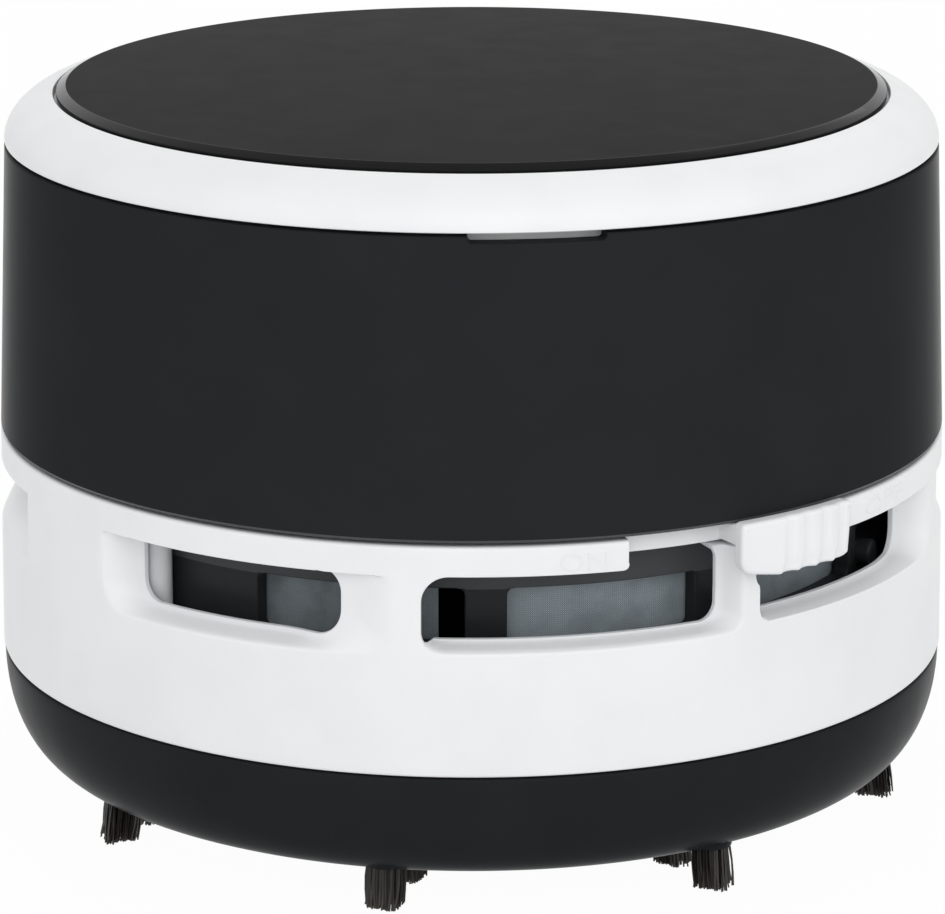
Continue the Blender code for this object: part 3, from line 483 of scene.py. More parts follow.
@dataclass
class Finishes:
    """Every material of the object, each made once."""

    made: dict[str, bpy.types.Material] = field(default_factory=dict)

    def build(self) -> None:
        """Makes the materials."""
        rows: Iterable[Any] = (
            Moulded("white_shell", (240, 241, 242), (234, 236, 238), 0.36, 0.06,
                    relief=0.002 * MM, specular=0.3),
            # The ring's finish has painted shade in its sunk dishes and grips.
            Moulded("white_ring", (240, 241, 242), (234, 236, 238), 0.36, 0.06,
                    relief=0.002 * MM, specular=0.3, shade=(226, 228, 230)),
            # A darker grey copy of the white plastic: painted shade on the ribs inside the vents.
            Moulded("white_rib_painted_shade", (200, 202, 204), (192, 194, 197), 0.4, 0.06,
                    relief=0.002 * MM, specular=0.3),
            Moulded("white_mark", (237, 238, 239), (233, 235, 237), 0.42, 0.05,
                    relief=0.002 * MM),
            Moulded("gloss_black", (39, 41, 43), (41, 43, 45), 0.2, 0.03, 0.4 * MM,
                    0.0012 * MM, 0.004),
            # A lighter copy of the black plastic: a painted highlight along the sleeve's lower
            # bevel.
            Moulded("sleeve_edge_painted_highlight", (66, 68, 70), (72, 74, 76), 0.25, 0.04, 0.4 * MM,
                    0.001 * MM, 0.2),
            Moulded("base_black", (34, 36, 38), (38, 40, 42), 0.3, 0.05, 0.3 * MM,
                    0.003 * MM, 0.018),
            Moulded("inlay_satin", (34, 34, 36), (37, 37, 39), 0.45, 0.03, 0.22 * MM,
                    0.003 * MM, 0.008),
            Moulded("inlay_edge", (10, 10, 11), (13, 13, 14), 0.12, 0.03, 0.4 * MM,
                    0.001 * MM, 0.1),
            Moulded("cage_black", (36, 38, 39), (42, 44, 45), 0.34, 0.08, 0.3 * MM,
                    0.006 * MM, 0.12),
            # A lighter copy of the cage's black: painted light on the cage's upper band.
            Moulded("cage_top_painted_light", (66, 68, 70), (71, 73, 75), 0.4, 0.08, 0.3 * MM,
                    0.006 * MM, 0.12),
            Moulded("chassis_grey", (92, 95, 98), (84, 87, 90), 0.5, 0.08, 0.35 * MM,
                    0.008 * MM),
            Moulded("fan_black", (30, 31, 33), (38, 39, 41), 0.42, 0.08, 0.3 * MM, 0.006 * MM),
            Moulded("red_wire", (168, 26, 22), (150, 22, 20), 0.35, 0.06),
            Moulded("black_wire", (24, 24, 26), (32, 32, 34), 0.35, 0.06),
            Metal("can_steel", (196, 198, 200), (168, 171, 175), 0.3),
            Metal("contact_nickel", (205, 200, 188), (176, 166, 146), 0.26, (0.1, 1.0, 1.0)),
            Metal("bush_bronze", (176, 132, 84), (142, 100, 62), 0.42, pores=0.18 * MM),
            Metal("spring_steel", (208, 206, 200), (180, 176, 168), 0.22, (1.0, 1.0, 1.0)),
            Woven(),
            Bristle(),
        )
        for row in rows:
            self.made[row.name] = row.build()
        log.info("finishes: %d", len(self.made))

    def __getitem__(self, name: str) -> bpy.types.Material:
        """One material by its name."""
        return self.made[name]


# Shape helpers


def polar(radius: float, angle: float, height: float = 0.0) -> Vector:
    """The point at a radius and an angle from -Y towards +X."""
    return Vector((radius * math.sin(angle), -radius * math.cos(angle), height))


def soft_step(value: float, low: float, high: float) -> float:
    """Zero below the low value and one above the high value, smooth between."""
    share = min(1.0, max(0.0, (value - low) / (high - low)))
    return share * share * (3 - 2 * share)


def drawn_back(gap: float, ease: float) -> float:
    """How far a rounded edge draws back at a distance from its end."""
    return 0.0 if gap >= ease else ease - math.sqrt(max(0.0, ease ** 2 - (ease - gap) ** 2))


def spread_ends(low: float, high: float, gap: float) -> list[float]:
    """Positions from one end to the other at one spacing."""
    return spread([(low, gap), (high, gap)])


def spread(stops: Sequence[tuple[float, float]]) -> list[float]:
    """Positions whose spacing changes from stretch to stretch.

    Args:
        stops: pairs of a position and the spacing from there to the next position.

    Returns:
        The positions in order, with every stop among them.
    """
    made = [stops[0][0]]
    for (low, gap), (high, _) in zip(stops, stops[1:]):
        count = max(1, round((high - low) / gap))
        made += [low + (high - low) * i / count for i in range(1, count + 1)]
    return made


def box_distance(spot: Spot, low: Spot, high: Spot, corners: Corners) -> float:
    """Signed distance to a box with rounded corners, negative inside.

    Args:
        spot: the point.
        low: left lower corner.
        high: right upper corner.
        corners: radii at left bottom, right bottom, left top and right top.

    Returns:
        The distance.
    """
    across = spot[0] - (low[0] + high[0]) / 2
    up = spot[1] - (low[1] + high[1]) / 2
    radius = corners[(across > 0) + 2 * (up > 0)]
    out_x = abs(across) - (high[0] - low[0]) / 2 + radius
    out_y = abs(up) - (high[1] - low[1]) / 2 + radius
    return (min(max(out_x, out_y), 0.0) + math.hypot(max(out_x, 0.0), max(out_y, 0.0))
            - radius)


def soft_least(first: float, second: float, reach: float) -> float:
    """The smaller of two distances, blended where they are within a reach."""
    near = max(reach - abs(first - second), 0.0) / reach
    return min(first, second) - near * near * reach / 4


def rounded(points: Sequence[Triple], closed: bool = True, steps: int = 4) -> list[Spot]:
    """A profile whose corners are rounded.

    Args:
        points: radius, height and corner radius of each corner.
        closed: whether the last point joins the first.
        steps: points on each rounded corner, less one.

    Returns:
        The points of the rounded profile.
    """
    made: list[Spot] = []
    for i, (x, y, radius) in enumerate(points):
        if radius <= 0 or (not closed and i in (0, len(points) - 1)):
            made.append((x, y))
            continue
        here = Vector((x, y))
        before = Vector(points[i - 1][:2]) - here
        after = Vector(points[(i + 1) % len(points)][:2]) - here
        half = before.angle(after) / 2
        back = min(radius / math.tan(half), before.length * 0.49, after.length * 0.49)
        start, end = here + before.normalized() * back, here + after.normalized() * back
        for step in range(steps + 1):
            share = step / steps
            first = start.lerp(here, share)
            made.append(tuple(first.lerp(here.lerp(end, share), share)))
    return made


def lathe(profile: Sequence[Spot], steps: int, closed: bool = True) -> bmesh.types.BMesh:
    """Spins a profile a full turn about the upright axis.

    Args:
        profile: pairs of radius and height.
        steps: facets round the turn.
        closed: whether the last point joins the first.

    Returns:
        The spun shape, with its faces outward.
    """
    bm = bmesh.new()
    verts = [bm.verts.new((radius, 0, height)) for radius, height in profile]
    pairs = list(zip(verts, verts[1:])) + ([(verts[-1], verts[0])] if closed else [])
    edges = [bm.edges.new(pair) for pair in pairs]
    bmesh.ops.spin(bm, geom=verts + edges, cent=(0, 0, 0), axis=(0, 0, 1),
                   angle=2 * math.pi, steps=steps, use_merge=True)
    bmesh.ops.remove_doubles(bm, verts=bm.verts[:], dist=TINY * 20)
    bare = [e for e in bm.edges if not e.link_faces]
    bmesh.ops.delete(bm, geom=bare, context="EDGES")
    bmesh.ops.recalc_face_normals(bm, faces=bm.faces[:])
    return bm


def add_to(whole: bmesh.types.BMesh, part: bmesh.types.BMesh) -> None:
    """Adds one shape to another.

    Args:
        whole: the shape that grows.
        part: the shape that is added and freed.
    """
    mesh = bpy.data.meshes.new("joined")
    part.to_mesh(mesh)
    whole.from_mesh(mesh)
    bpy.data.meshes.remove(mesh)
    part.free()


def finish_piece(name: str, bm: bmesh.types.BMesh, materials: Sequence[bpy.types.Material],
                 body: Body, replaces: Sequence[str] = (),
                 crisp: float = 38 * DEG) -> None:
    """Turns a shape into a piece that rides on a body.

    Args:
        name: the piece's name.
        bm: the shape, which is freed.
        materials: finishes in the order of the faces' material numbers.
        body: the body that it moves with.
        replaces: the CAD nodes that it stands for.
        crisp: edges with a larger angle stay sharp.
    """
    for face in bm.faces:
        face.smooth = True
    for edge in bm.edges:
        if len(edge.link_faces) == 2 and edge.calc_face_angle(0.0) > crisp:
            edge.smooth = False
    loose = sum(1 for edge in bm.edges if len(edge.link_faces) != 2)
    mesh = bpy.data.meshes.new(name)
    bm.to_mesh(mesh)
    bm.free()
    piece = bpy.data.objects.new(name, mesh)
    bpy.context.scene.collection.objects.link(piece)
    for material in materials:
        mesh.materials.append(material)
    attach(piece, body.value)
    if replaces:
        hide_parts(*replaces)
    log.info("%s: %d faces, %d open edges", name, len(mesh.polygons), loose)


@dataclass
class Wall:
    """A curved wall whose outline and openings are cut from a fine grid.

    The grid lies flat at first: x is the way round at the reference radius, z the
    height and y the share of the depth. It is wrapped round the axis at the end.

    Attributes:
        radius: the reference radius.
        ways: positions round the wall, in metres at that radius.
        levels: heights of the grid's rows.
        outer: outer radius by angle and height.
        inner: inner radius by angle and height.
        solid: signed distance by way and height, positive in the material.
        rim: radius of the rounded edge where the outer face meets a cut.
        closed: whether the wall goes all the way round.
        rings: steps in the rounded edge.
        nearby: share of a cell within which a point is moved onto the outline.
        nudge: the step that slopes are measured over.
        tries: how often a point is moved towards the outline.
        halvings: how often an edge is halved to find the outline on it.
    """

    radius: float
    ways: Sequence[float]
    levels: Sequence[float]
    outer: Field
    inner: Field
    solid: Field
    rim: float = 0.2 * MM
    closed: bool = False
    rings: int = 3
    nearby: float = 0.3
    nudge: float = 0.01 * MM
    tries: int = 3
    halvings: int = 12

    def build(self) -> bmesh.types.BMesh:
        """Cuts, thickens and wraps the grid.

        Returns:
            The closed shape.
        """
        bm = bmesh.new()
        away = bm.verts.layers.float.new("away")
        side = bm.verts.layers.float_vector.new("side")
        self._lay(bm)
        self._snap(bm, away, side)
        self._cut(bm, away, side)
        self._thicken(bm)
        self._wrap(bm, away, side)
        return bm

    def _lay(self, bm: bmesh.types.BMesh) -> None:
        """Lays the flat grid out on the chosen ways and levels.

        Args:
            bm: the empty shape.
        """
        across, up = len(self.ways) - 1, len(self.levels) - 1
        bmesh.ops.create_grid(bm, x_segments=across, y_segments=up, size=0.5)
        for vert in bm.verts:
            column = round((vert.co.x + 0.5) * across)
            row = round((vert.co.y + 0.5) * up)
            vert.co = (self.ways[column], 0, self.levels[row])

    def _slope(self, way: float, height: float) -> Vector:
        """The direction in which the distance grows.

        Args:
            way: the point's way round.
            height: its height.

        Returns:
            The direction, a unit long, or nothing where the distance is level.
        """
        nudge = self.nudge
        across = self.solid(way + nudge, height) - self.solid(way - nudge, height)
        up = self.solid(way, height + nudge) - self.solid(way, height - nudge)
        slope = Vector((across, 0, up))
        return slope.normalized() if slope.length > TINY / 10 else Vector((0, 0, 0))

    def _snap(self, bm: bmesh.types.BMesh, away: Any, side: Any) -> None:
        """Moves the points next to a cut's outline onto it and notes the distances.

        Args:
            bm: the flat grid.
            away: the layer that takes each point's distance.
            side: the layer that takes the direction in which it grows.
        """
        near = 6 * self.rim + 1 * MM
        spans = {}
        for vert in bm.verts:
            steps = [e.other_vert(vert).co - vert.co for e in vert.link_edges]
            spans[vert] = (max(s.x for s in steps), -min(s.x for s in steps),
                           max(s.z for s in steps), -min(s.z for s in steps))
        for vert in bm.verts:
            way, height = vert.co.x, vert.co.z
            distance = self.solid(way, height)
            if abs(distance) < near:
                slope = self._slope(way, height)
                toward = -slope if distance > 0 else slope
                right, left, up, down = spans[vert]
                room = self.nearby * (right if toward.x > 0 else left)
                headroom = self.nearby * (up if toward.z > 0 else down)
                if (abs(distance * slope.x) <= room + TINY
                        and abs(distance * slope.z) <= headroom + TINY):
                    for _ in range(self.tries):
                        way -= distance * slope.x
                        height -= distance * slope.z
                        distance = self.solid(way, height)
                        slope = self._slope(way, height)
                    height = min(max(height, self.levels[0]), self.levels[-1])
                    vert.co.x, vert.co.z, distance = way, height, 0.0
                vert[side] = slope
            vert[away] = distance

    def _cross(self, edge: bmesh.types.BMEdge, away: Any) -> float:
        """Finds the outline on an edge.

        Args:
            edge: an edge with one end in the material and one outside it.
            away: the layer with the distances.

        Returns:
            The share of the way along the edge.
        """
        start, end = edge.verts
        low, high = 0.0, 1.0
        first = start[away]
        for _ in range(self.halvings):
            share = (low + high) / 2
            spot = start.co.lerp(end.co, share)
            if self.solid(spot.x, spot.z) * first > 0:
                low = share
            else:
                high = share
        return (low + high) / 2

    def _cut(self, bm: bmesh.types.BMesh, away: Any, side: Any) -> None:
        """Splits the edges and faces that the outline crosses and removes the outside.

        Args:
            bm: the flat grid.
            away: the layer with the distances.
            side: the layer with their directions.
        """
        def sign(vert: bmesh.types.BMVert) -> int:
            """One in the material, minus one outside it and zero on its outline."""
            return (vert[away] > TINY) - (vert[away] < -TINY)

        def split(face: bmesh.types.BMFace) -> None:
            """Parts a face along the outline, piece by piece.

            Args:
                face: the face, whose corners have their distances.
            """
            verts = list(face.verts)
            signs = [sign(v) for v in verts]
            if not (1 in signs and -1 in signs):
                return
            zeros = [i for i, s in enumerate(signs) if s == 0]
            for i, j in zip(zeros, zeros[1:] + zeros[:1]):
                gap = (j - i) % len(verts)
                if 1 < gap < len(verts) - 1:
                    other, _ = bmesh.utils.face_split(face, verts[i], verts[j])
                    split(face)
                    split(other)
                    return

        for edge in list(bm.edges):
            if sign(edge.verts[0]) * sign(edge.verts[1]) < 0:
                share = self._cross(edge, away)
                _, vert = bmesh.utils.edge_split(edge, edge.verts[0], share)
                vert[away] = 0.0
                vert[side] = self._slope(vert.co.x, vert.co.z)
        for face in list(bm.faces):
            split(face)
        doomed = []
        for face in bm.faces:
            middle = face.calc_center_median()
            if max(sign(v) for v in face.verts) <= 0 and self.solid(middle.x, middle.z) < 0:
                doomed.append(face)
        bmesh.ops.delete(bm, geom=doomed, context="FACES")

    def _thicken(self, bm: bmesh.types.BMesh) -> None:
        """Extrudes the sheet to a wall and cuts its sides into steps.

        Args:
            bm: the cut sheet.
        """
        made = bmesh.ops.extrude_face_region(bm, geom=bm.faces[:])["geom"]
        back = [g for g in made if isinstance(g, bmesh.types.BMVert)]
        bmesh.ops.translate(bm, verts=back, vec=(0, 1, 0))
        cross = [e for e in bm.edges if abs(e.verts[0].co.y - e.verts[1].co.y) > 0.5]
        if self.closed:
            ends = (self.ways[0], self.ways[-1])
            seam = [f for f in bm.faces if max(v.co.y for v in f.verts) > 0.5
                    > min(v.co.y for v in f.verts)
                    and any(all(abs(v.co.x - end) < TINY for v in f.verts) for end in ends)]
            bmesh.ops.delete(bm, geom=seam, context="FACES")
            cross = [e for e in cross if e.is_valid]
        bmesh.ops.subdivide_edges(bm, edges=cross, cuts=self.rings + 1)

    def _wrap(self, bm: bmesh.types.BMesh, away: Any, side: Any) -> None:
        """Wraps the flat wall round the axis and rounds its outer edges.

        Args:
            bm: the flat wall.
            away: the layer with the distances.
            side: the layer with their directions.
        """
        last = self.rings + 2
        fade = 3 * self.rim
        for vert in bm.verts:
            step = round(vert.co.y * last)
            way, height, slope = vert.co.x, vert.co.z, vert[side]
            angle = way / self.radius
            outer, inner = self.outer(angle, height), self.inner(angle, height)
            turn = min(step, self.rings) / self.rings * math.pi / 2
            shift = self.rim * (1 - math.sin(turn))
            depth = self.rim * (1 - math.cos(turn))
            if step > self.rings:
                depth = (outer - inner) * (1.0 if step == last else 0.5)
            share = max(0.0, 1 - max(0.0, vert[away]) / fade) ** 2
            angle += slope.x * shift * share / self.radius
            vert.co = polar(outer - min(depth, outer - inner), angle,
                            height + slope.z * shift * share)
        bmesh.ops.remove_doubles(bm, verts=bm.verts[:], dist=TINY * 10)
        bmesh.ops.recalc_face_normals(bm, faces=bm.faces[:])


@dataclass
class Lettering:
    """Raised letters on an upright round face.

    Attributes:
        words: what they say.
        start: angle of their left end.
        end: angle of their right end.
        low: height of their feet.
        height: their own height.
        radius: radius of the face.
        rise: how far they stand out.
    """

    words: str
    start: float
    end: float
    low: float
    height: float
    radius: float
    rise: float = 0.06 * MM

    def build(self) -> bmesh.types.BMesh:
        """Sets the words, makes them a mesh and wraps them on the face.

        Returns:
            The letters.
        """
        curve = bpy.data.curves.new("letters", "FONT")
        curve.body = self.words
        curve.extrude = 0.5
        curve.resolution_u = 6
        setter = bpy.data.objects.new("letters", curve)
        mesh = bpy.data.meshes.new_from_object(setter)
        bpy.data.objects.remove(setter)
        bpy.data.curves.remove(curve)
        bm = bmesh.new()
        bm.from_mesh(mesh)
        bpy.data.meshes.remove(mesh)
        bmesh.ops.remove_doubles(bm, verts=bm.verts[:], dist=TINY * 100)
        xs, ys = [v.co.x for v in bm.verts], [v.co.y for v in bm.verts]
        left, bottom = min(xs), min(ys)
        wide, tall = max(xs) - left, max(ys) - bottom
        for vert in bm.verts:
            across = (vert.co.x - left) / wide
            angle = self.start + (self.end - self.start) * across
            depth = self.rise if vert.co.z > 0 else -self.rise
            vert.co = polar(self.radius + depth, angle,
                            self.low + self.height * (vert.co.y - bottom) / tall)
        bmesh.ops.recalc_face_normals(bm, faces=bm.faces[:])
        return bm


# Sub-assemblies


@dataclass(frozen=True)
class Vent:
    """One vent: an opening and the dish that slopes down to it.

    Attributes:
        dish: angles of the dish's left and right end, in degrees.
        hole: angles of the opening's left and right end, in degrees.
        floors: lowest heights of the dish and of the opening, in millimetres.
        depths: the dish's depth at the opening's left and right, in millimetres.
        dish_corners: radii at left bottom, right bottom, left top and right top.
        hole_corners: the same for the opening.
    """

    dish: Spot
    hole: Spot
    floors: Spot
    depths: Spot
    dish_corners: Corners
    hole_corners: Corners


@dataclass
class VentRing:
    """The white lower housing with its vents, finger grips and lip.

    Attributes:
        draft: how much narrower the ring is at its top.
        lip, shelf: heights of the vents' upper edge and of the switch's slot.
        bore, belt, vent_bore, slot_bore: inner radii below, above, by the vents and
            in the slot.
        cutout_angles, cuts: the switch's cutout and its boxes, each from a left to a
            right angle and from a height, in degrees and millimetres.
        grip_depths, grip_power: depth of a grip at its sill and lip, and its curve.
        dish_turn: angle over which a dish's depth changes at its right end.
        dish_eases: distances over which a dish starts below and at the lip.
        thin, thick_reach: the wall beside an opening, and where it grows thicker.
        rib_angles, rib_place, rib_size: the ribs inside the first vents.
        words: each word with its angles and lower edge, in degrees and millimetres.
    """

    finishes: Finishes
    radius: float = 42.003 * MM
    draft: float = 0.25 * MM
    bottom: float = 13.95 * MM
    top: float = 33.55 * MM
    lip: float = 31.05 * MM
    shelf: float = 31.6 * MM
    bore: float = 40.2 * MM
    belt: float = 37.7 * MM
    belt_level: float = 23.5 * MM
    vent_bore: float = 39.3 * MM
    slot_bore: float = 39.9 * MM
    slot_angles: Spot = (-6.1 * DEG, 60.6 * DEG)
    cutout_angles: Spot = (17.9 * DEG, 47.4 * DEG)
    groove: Spot = (15.75 * MM, 18.35 * MM)
    groove_radius: float = 41.1 * MM
    seam: float = 74.2 * DEG
    grip_starts: Spot = (76 * DEG, -104 * DEG)
    grip_width: float = 38.2 * DEG
    grip_floor: float = 25.05 * MM
    grip_rise: float = 3.45 * MM
    grip_depths: Spot = (0.16 * MM, 2.54 * MM)
    grip_power: float = 1.75
    front_angles: Spot = (-60 * DEG, 75 * DEG)
    ease: float = 0.3 * MM
    cuts: Sequence[Corners] = ((17.9, 29.8, 28.0, 0.0), (34.15, 47.4, 28.4, 0.3),
                               (17.9, 47.4, 31.6, 0.0))
    cut_blend: float = 0.6 * MM
    dish_turn: float = 8 * DEG
    dish_eases: Spot = (0.4 * MM, 0.06 * MM)
    thin: Spot = (0.45 * MM, 0.35 * MM)
    thick_reach: Spot = (0.6 * MM, 2.2 * MM)
    screw_angles: Spot = (-55.2 * DEG, 124.8 * DEG)
    screw_flat: tuple[float, float, float] = (2.4 * DEG, 27 * MM, 39.6 * MM)
    rib_angles: Spot = (-45.4 * DEG, 134.6 * DEG)
    rib_place: float = 37.9 * MM
    rib_heights: Spot = (23.8 * MM, 31.4 * MM)
    rib_size: Spot = (2.4 * MM, 1.3 * MM)
    words: Sequence[tuple[str, float, float, float]] = (
        ("ON", 9.9, 15.4, 31.3), ("OFF", 52.4, 60.9, 31.45))
    word_height: float = 1.5 * MM
    vents: Sequence[Vent] = (
        Vent((-48.0, -8.8), (-43.3, -15.1), (24.1, 25.3), (2.0, 1.0),
             (3.2, 2.4, 1.0, 1.9), (1.9, 2.3, 0.3, 2.0)),
        Vent((-5.65, 32.6), (-5.65, 30.3), (24.42, 25.2), (2.0, 2.0),
             (1.9, 1.5, 2.3, 0.0), (0.8, 1.6, 2.3, 0.5)),
        Vent((34.7, 72.7), (34.7, 67.3), (24.75, 25.5), (2.0, 2.4),
             (1.3, 2.4, 0.0, 0.6), (0.3, 2.0, 0.5, 0.4)),
    )

    def _group(self, angle: float) -> tuple[float, bool]:
        """Finds the nearer group of vents.

        Args:
            angle: an angle round the ring.

        Returns:
            The angle as seen from that group, and whether it is the front one.
        """
        turned = (angle + math.pi) % (2 * math.pi) - math.pi
        if self.front_angles[0] < turned < self.front_angles[1]:
            return turned, True
        return (angle + 2 * math.pi) % (2 * math.pi) - math.pi, False

    def _box(self, spot: Spot, ends: Spot, heights: Spot,
             corners: Sequence[float]) -> float:
        """Signed distance to a rounded box that is given in degrees and millimetres.

        Args:
            spot: way and height, in metres.
            ends: left and right angle.
            heights: lower and upper height.
            corners: radii at left bottom, right bottom, left top and right top.

        Returns:
            The distance, negative inside.
        """
        left, right = (end * DEG * self.radius for end in ends)
        return box_distance(spot, (left, heights[0] * MM), (right, heights[1] * MM),
                            tuple(c * MM for c in corners))

    def _openings(self, angle: float, height: float, front: bool) -> float:
        """Signed distance to the nearest vent or to the switch's cutout.

        Args:
            angle: the angle in its group of vents.
            height: the point's height.
            front: whether that is the front group.

        Returns:
            The distance, negative inside an opening.
        """
        spot = (angle * self.radius, height)
        lip = self.lip / MM
        made = min(max(self._box(spot, vent.hole, (vent.floors[1], lip), vent.hole_corners),
                       self._box(spot, vent.dish, (vent.floors[0], lip + 9),
                                 vent.dish_corners[:2] + (0.0, 0.0)))
                   for vent in self.vents)
        if not front:
            return made
        high = self.top / MM + 3
        cut = min(self._box(spot, (left, right), (low, high), (corner, 0.0, 0.0, 0.0))
                  for left, right, low, corner in self.cuts)
        return soft_least(made, cut, self.cut_blend)

    def _solid(self, way: float, height: float) -> float:
        """Signed distance to the ring's material."""
        angle, front = self._group(way / self.radius)
        return self._openings(angle, height, front)

    def _dish(self, angle: float, height: float, front: bool) -> float:
        """How deep the face lies below the plain ring round a vent.

        Args:
            angle: the angle in its group of vents.
            height: the point's height.
            front: whether that is the front group.

        Returns:
            The depth.
        """
        spot = (angle * self.radius, height)
        open_top = front and self.cutout_angles[0] < angle < self.cutout_angles[1]
        high = self.top / MM + 9
        deepest = 0.0
        for vent in self.vents:
            if not vent.dish[0] * DEG < angle < vent.dish[1] * DEG:
                continue
            low = vent.dish_corners[:2] + (0.0, 0.0)
            out = -self._box(spot, vent.dish, (vent.floors[0], high), low)
            within = out if open_top else -self._box(
                spot, vent.dish, (vent.floors[0], self.lip / MM), vent.dish_corners)
            if min(out, within) <= TINY:
                continue
            hole = max(0.0, self._box(spot, vent.hole, (vent.floors[1], high),
                                      vent.hole_corners[:2] + (0.0, 0.0)))
            share = out / (out + hole)
            basin = 0.75 * soft_step(share, 0.0, 0.8) + 0.25 * share
            last = vent.hole[1] * DEG
            way_over = soft_step(angle, last - self.dish_turn, last)
            depth = vent.depths[0] + (vent.depths[1] - vent.depths[0]) * way_over
            ease = (soft_step(out, 0.0, self.dish_eases[0])
                    * soft_step(within, 0.0, self.dish_eases[1]))
            deepest = max(deepest, depth * MM * basin * ease)
        return deepest

    def _grip(self, way_angle: float, height: float) -> float:
        """How deep a finger grip lies below the plain ring.

        Args:
            way_angle: the angle round the ring.
            height: the point's height.

        Returns:
            The depth.
        """
        if not self.grip_floor < height < self.lip - 0.02 * MM:
            return 0.0
        for start in self.grip_starts:
            turned = (way_angle - start) % (2 * math.pi)
            if turned < self.grip_width:
                rise = min(1.0, (height - self.grip_floor) / self.grip_rise)
                edge = min(turned, self.grip_width - turned) * self.radius
                ease = soft_step(edge, -0.05 * MM, 0.4 * MM)
                sill = soft_step(height - self.grip_floor, 0.0, 0.3 * MM)
                foot, deep = self.grip_depths
                return (foot * sill + deep * rise ** self.grip_power) * ease
        return 0.0

    def _outer(self, way_angle: float, height: float) -> float:
        """Outer radius, with the dishes, the grips and the rounded ends.

        Args:
            way_angle: the angle round the ring.
            height: the point's height.

        Returns:
            The radius.
        """
        angle, front = self._group(way_angle)
        rise = (height - self.bottom) / (self.top - self.bottom)
        radius = self.radius - self.draft * rise
        radius -= max(self._dish(angle, height, front), self._grip(way_angle, height))
        return radius - drawn_back(min(height - self.bottom, self.top - height), self.ease)

    def _inner(self, way_angle: float, height: float) -> float:
        """Inner radius: the bore, the bayonet groove, the belt and the switch's slot.

        Args:
            way_angle: the angle round the ring.
            height: the point's height.

        Returns:
            The radius.
        """
        if self.groove[0] < height < self.groove[1]:
            return self.groove_radius
        if height < self.belt_level:
            return self.bore
        if self.belt_level + 0.6 * MM < height < self.lip + 0.2 * MM:
            angle, front = self._group(way_angle)
            outer = self._outer(way_angle, height)
            thick = soft_step(self._openings(angle, height, front), *self.thick_reach)
            return min((outer - self.thin[0]) * (1 - thick) + self.vent_bore * thick,
                       outer - self.thin[1])
        turned = (way_angle + math.pi) % (2 * math.pi) - math.pi
        if height > self.shelf and self.slot_angles[0] < turned < self.slot_angles[1]:
            return self.slot_bore
        half, low, flat = self.screw_flat
        if height > low and any(abs(turned - screw) < half for screw in self.screw_angles):
            return flat
        return self.belt

    def _ways(self) -> list[float]:
        """Positions round the ring, closer together where the outlines bend.

        Returns:
            The positions, from one side of the seam round to the other.
        """
        front, back = 0.45 * MM, 0.55 * MM
        zones = [(17.0, 18.4, 0.1), (27.2, 36.8, 0.2), (46.9, 47.9, 0.15)]
        for vent in self.vents[:2]:
            zones += [(vent.dish[0] - 0.4, vent.dish[0] + 5.2, 0.2),
                      (vent.dish[0] + 179.8, vent.dish[0] + 181.0, 0.2)]
        zones += [(-18.4, -14.4, 0.22), (63.4, 68.4, 0.22)]
        for start in self.grip_starts:
            for edge in (start / DEG, (start + self.grip_width) / DEG):
                zones.append((edge - 0.7, edge + 0.7, 0.1))
        first = self.seam / DEG - 360
        stops = [(first, back)]
        for low, high, gap in sorted(((low - first) % 360 + first, (low - first) % 360 + first
                                      + high - low, gap * MM) for low, high, gap in zones):
            after = front if -60 < high < 75 else back
            stops += [(low, gap), (high, after)]
        stops.append((self.seam / DEG, back))
        return spread([(angle * DEG * self.radius, gap) for angle, gap in stops])

    def _levels(self) -> list[float]:
        """Heights of the rows, closer together at the rims of the vents."""
        return spread([
            (self.bottom, 0.075 * MM), (14.25 * MM, 0.7 * MM), (15.7 * MM, 0.05 * MM),
            (15.8 * MM, 0.8 * MM), (18.3 * MM, 0.05 * MM), (18.4 * MM, 0.9 * MM),
            (23.45 * MM, 0.05 * MM), (23.55 * MM, 0.25 * MM), (24.0 * MM, 0.15 * MM),
            (25.6 * MM, 0.22 * MM), (27.0 * MM, 0.36 * MM), (28.8 * MM, 0.25 * MM),
            (30.6 * MM, 0.15 * MM), (30.95 * MM, 0.05 * MM), (31.1 * MM, 0.25 * MM),
            (31.55 * MM, 0.05 * MM), (31.65 * MM, 0.3 * MM), (33.25 * MM, 0.075 * MM),
            (self.top, 1.0)])

    def _rib(self, angle: float) -> bmesh.types.BMesh:
        """The rounded upright rib that shows inside the left end of a first vent.

        Args:
            angle: the rib's place.

        Returns:
            The rib, with its faces in the second finish, the darker grey that paints the rib's
            shade.
        """
        low, high = self.rib_heights
        rib = lathe([(1.0, low), (1.0, high), (0.0, high), (0.0, low)], 48)
        for face in rib.faces:
            face.material_index = 1
        rib.transform(Matrix.Translation(polar(self.rib_place, angle))
                      @ Matrix.Rotation(angle, 4, "Z")
                      @ Matrix.Diagonal((*self.rib_size, 1.0, 1.0)))
        return rib

    def build(self) -> None:
        """Makes the ring and the two words on its lip."""
        ring = Wall(self.radius, self._ways(), self._levels(), self._outer, self._inner,
                    self._solid, 0.07 * MM, True, 2).build()
        for angle in self.rib_angles:
            add_to(ring, self._rib(angle))
        finish_piece("ring_shell", ring, [self.finishes["white_ring"],
                                          self.finishes["white_rib_painted_shade"]], Body.HOUSING,
                     ["vent_ring"], 50 * DEG)
        for words, start, end, low in self.words:
            letters = Lettering(words, start * DEG, end * DEG, low * MM, self.word_height,
                                self.radius - self.draft * 0.9)
            finish_piece("word_" + words.lower(), letters.build(),
                         [self.finishes["white_mark"]], Body.HOUSING)


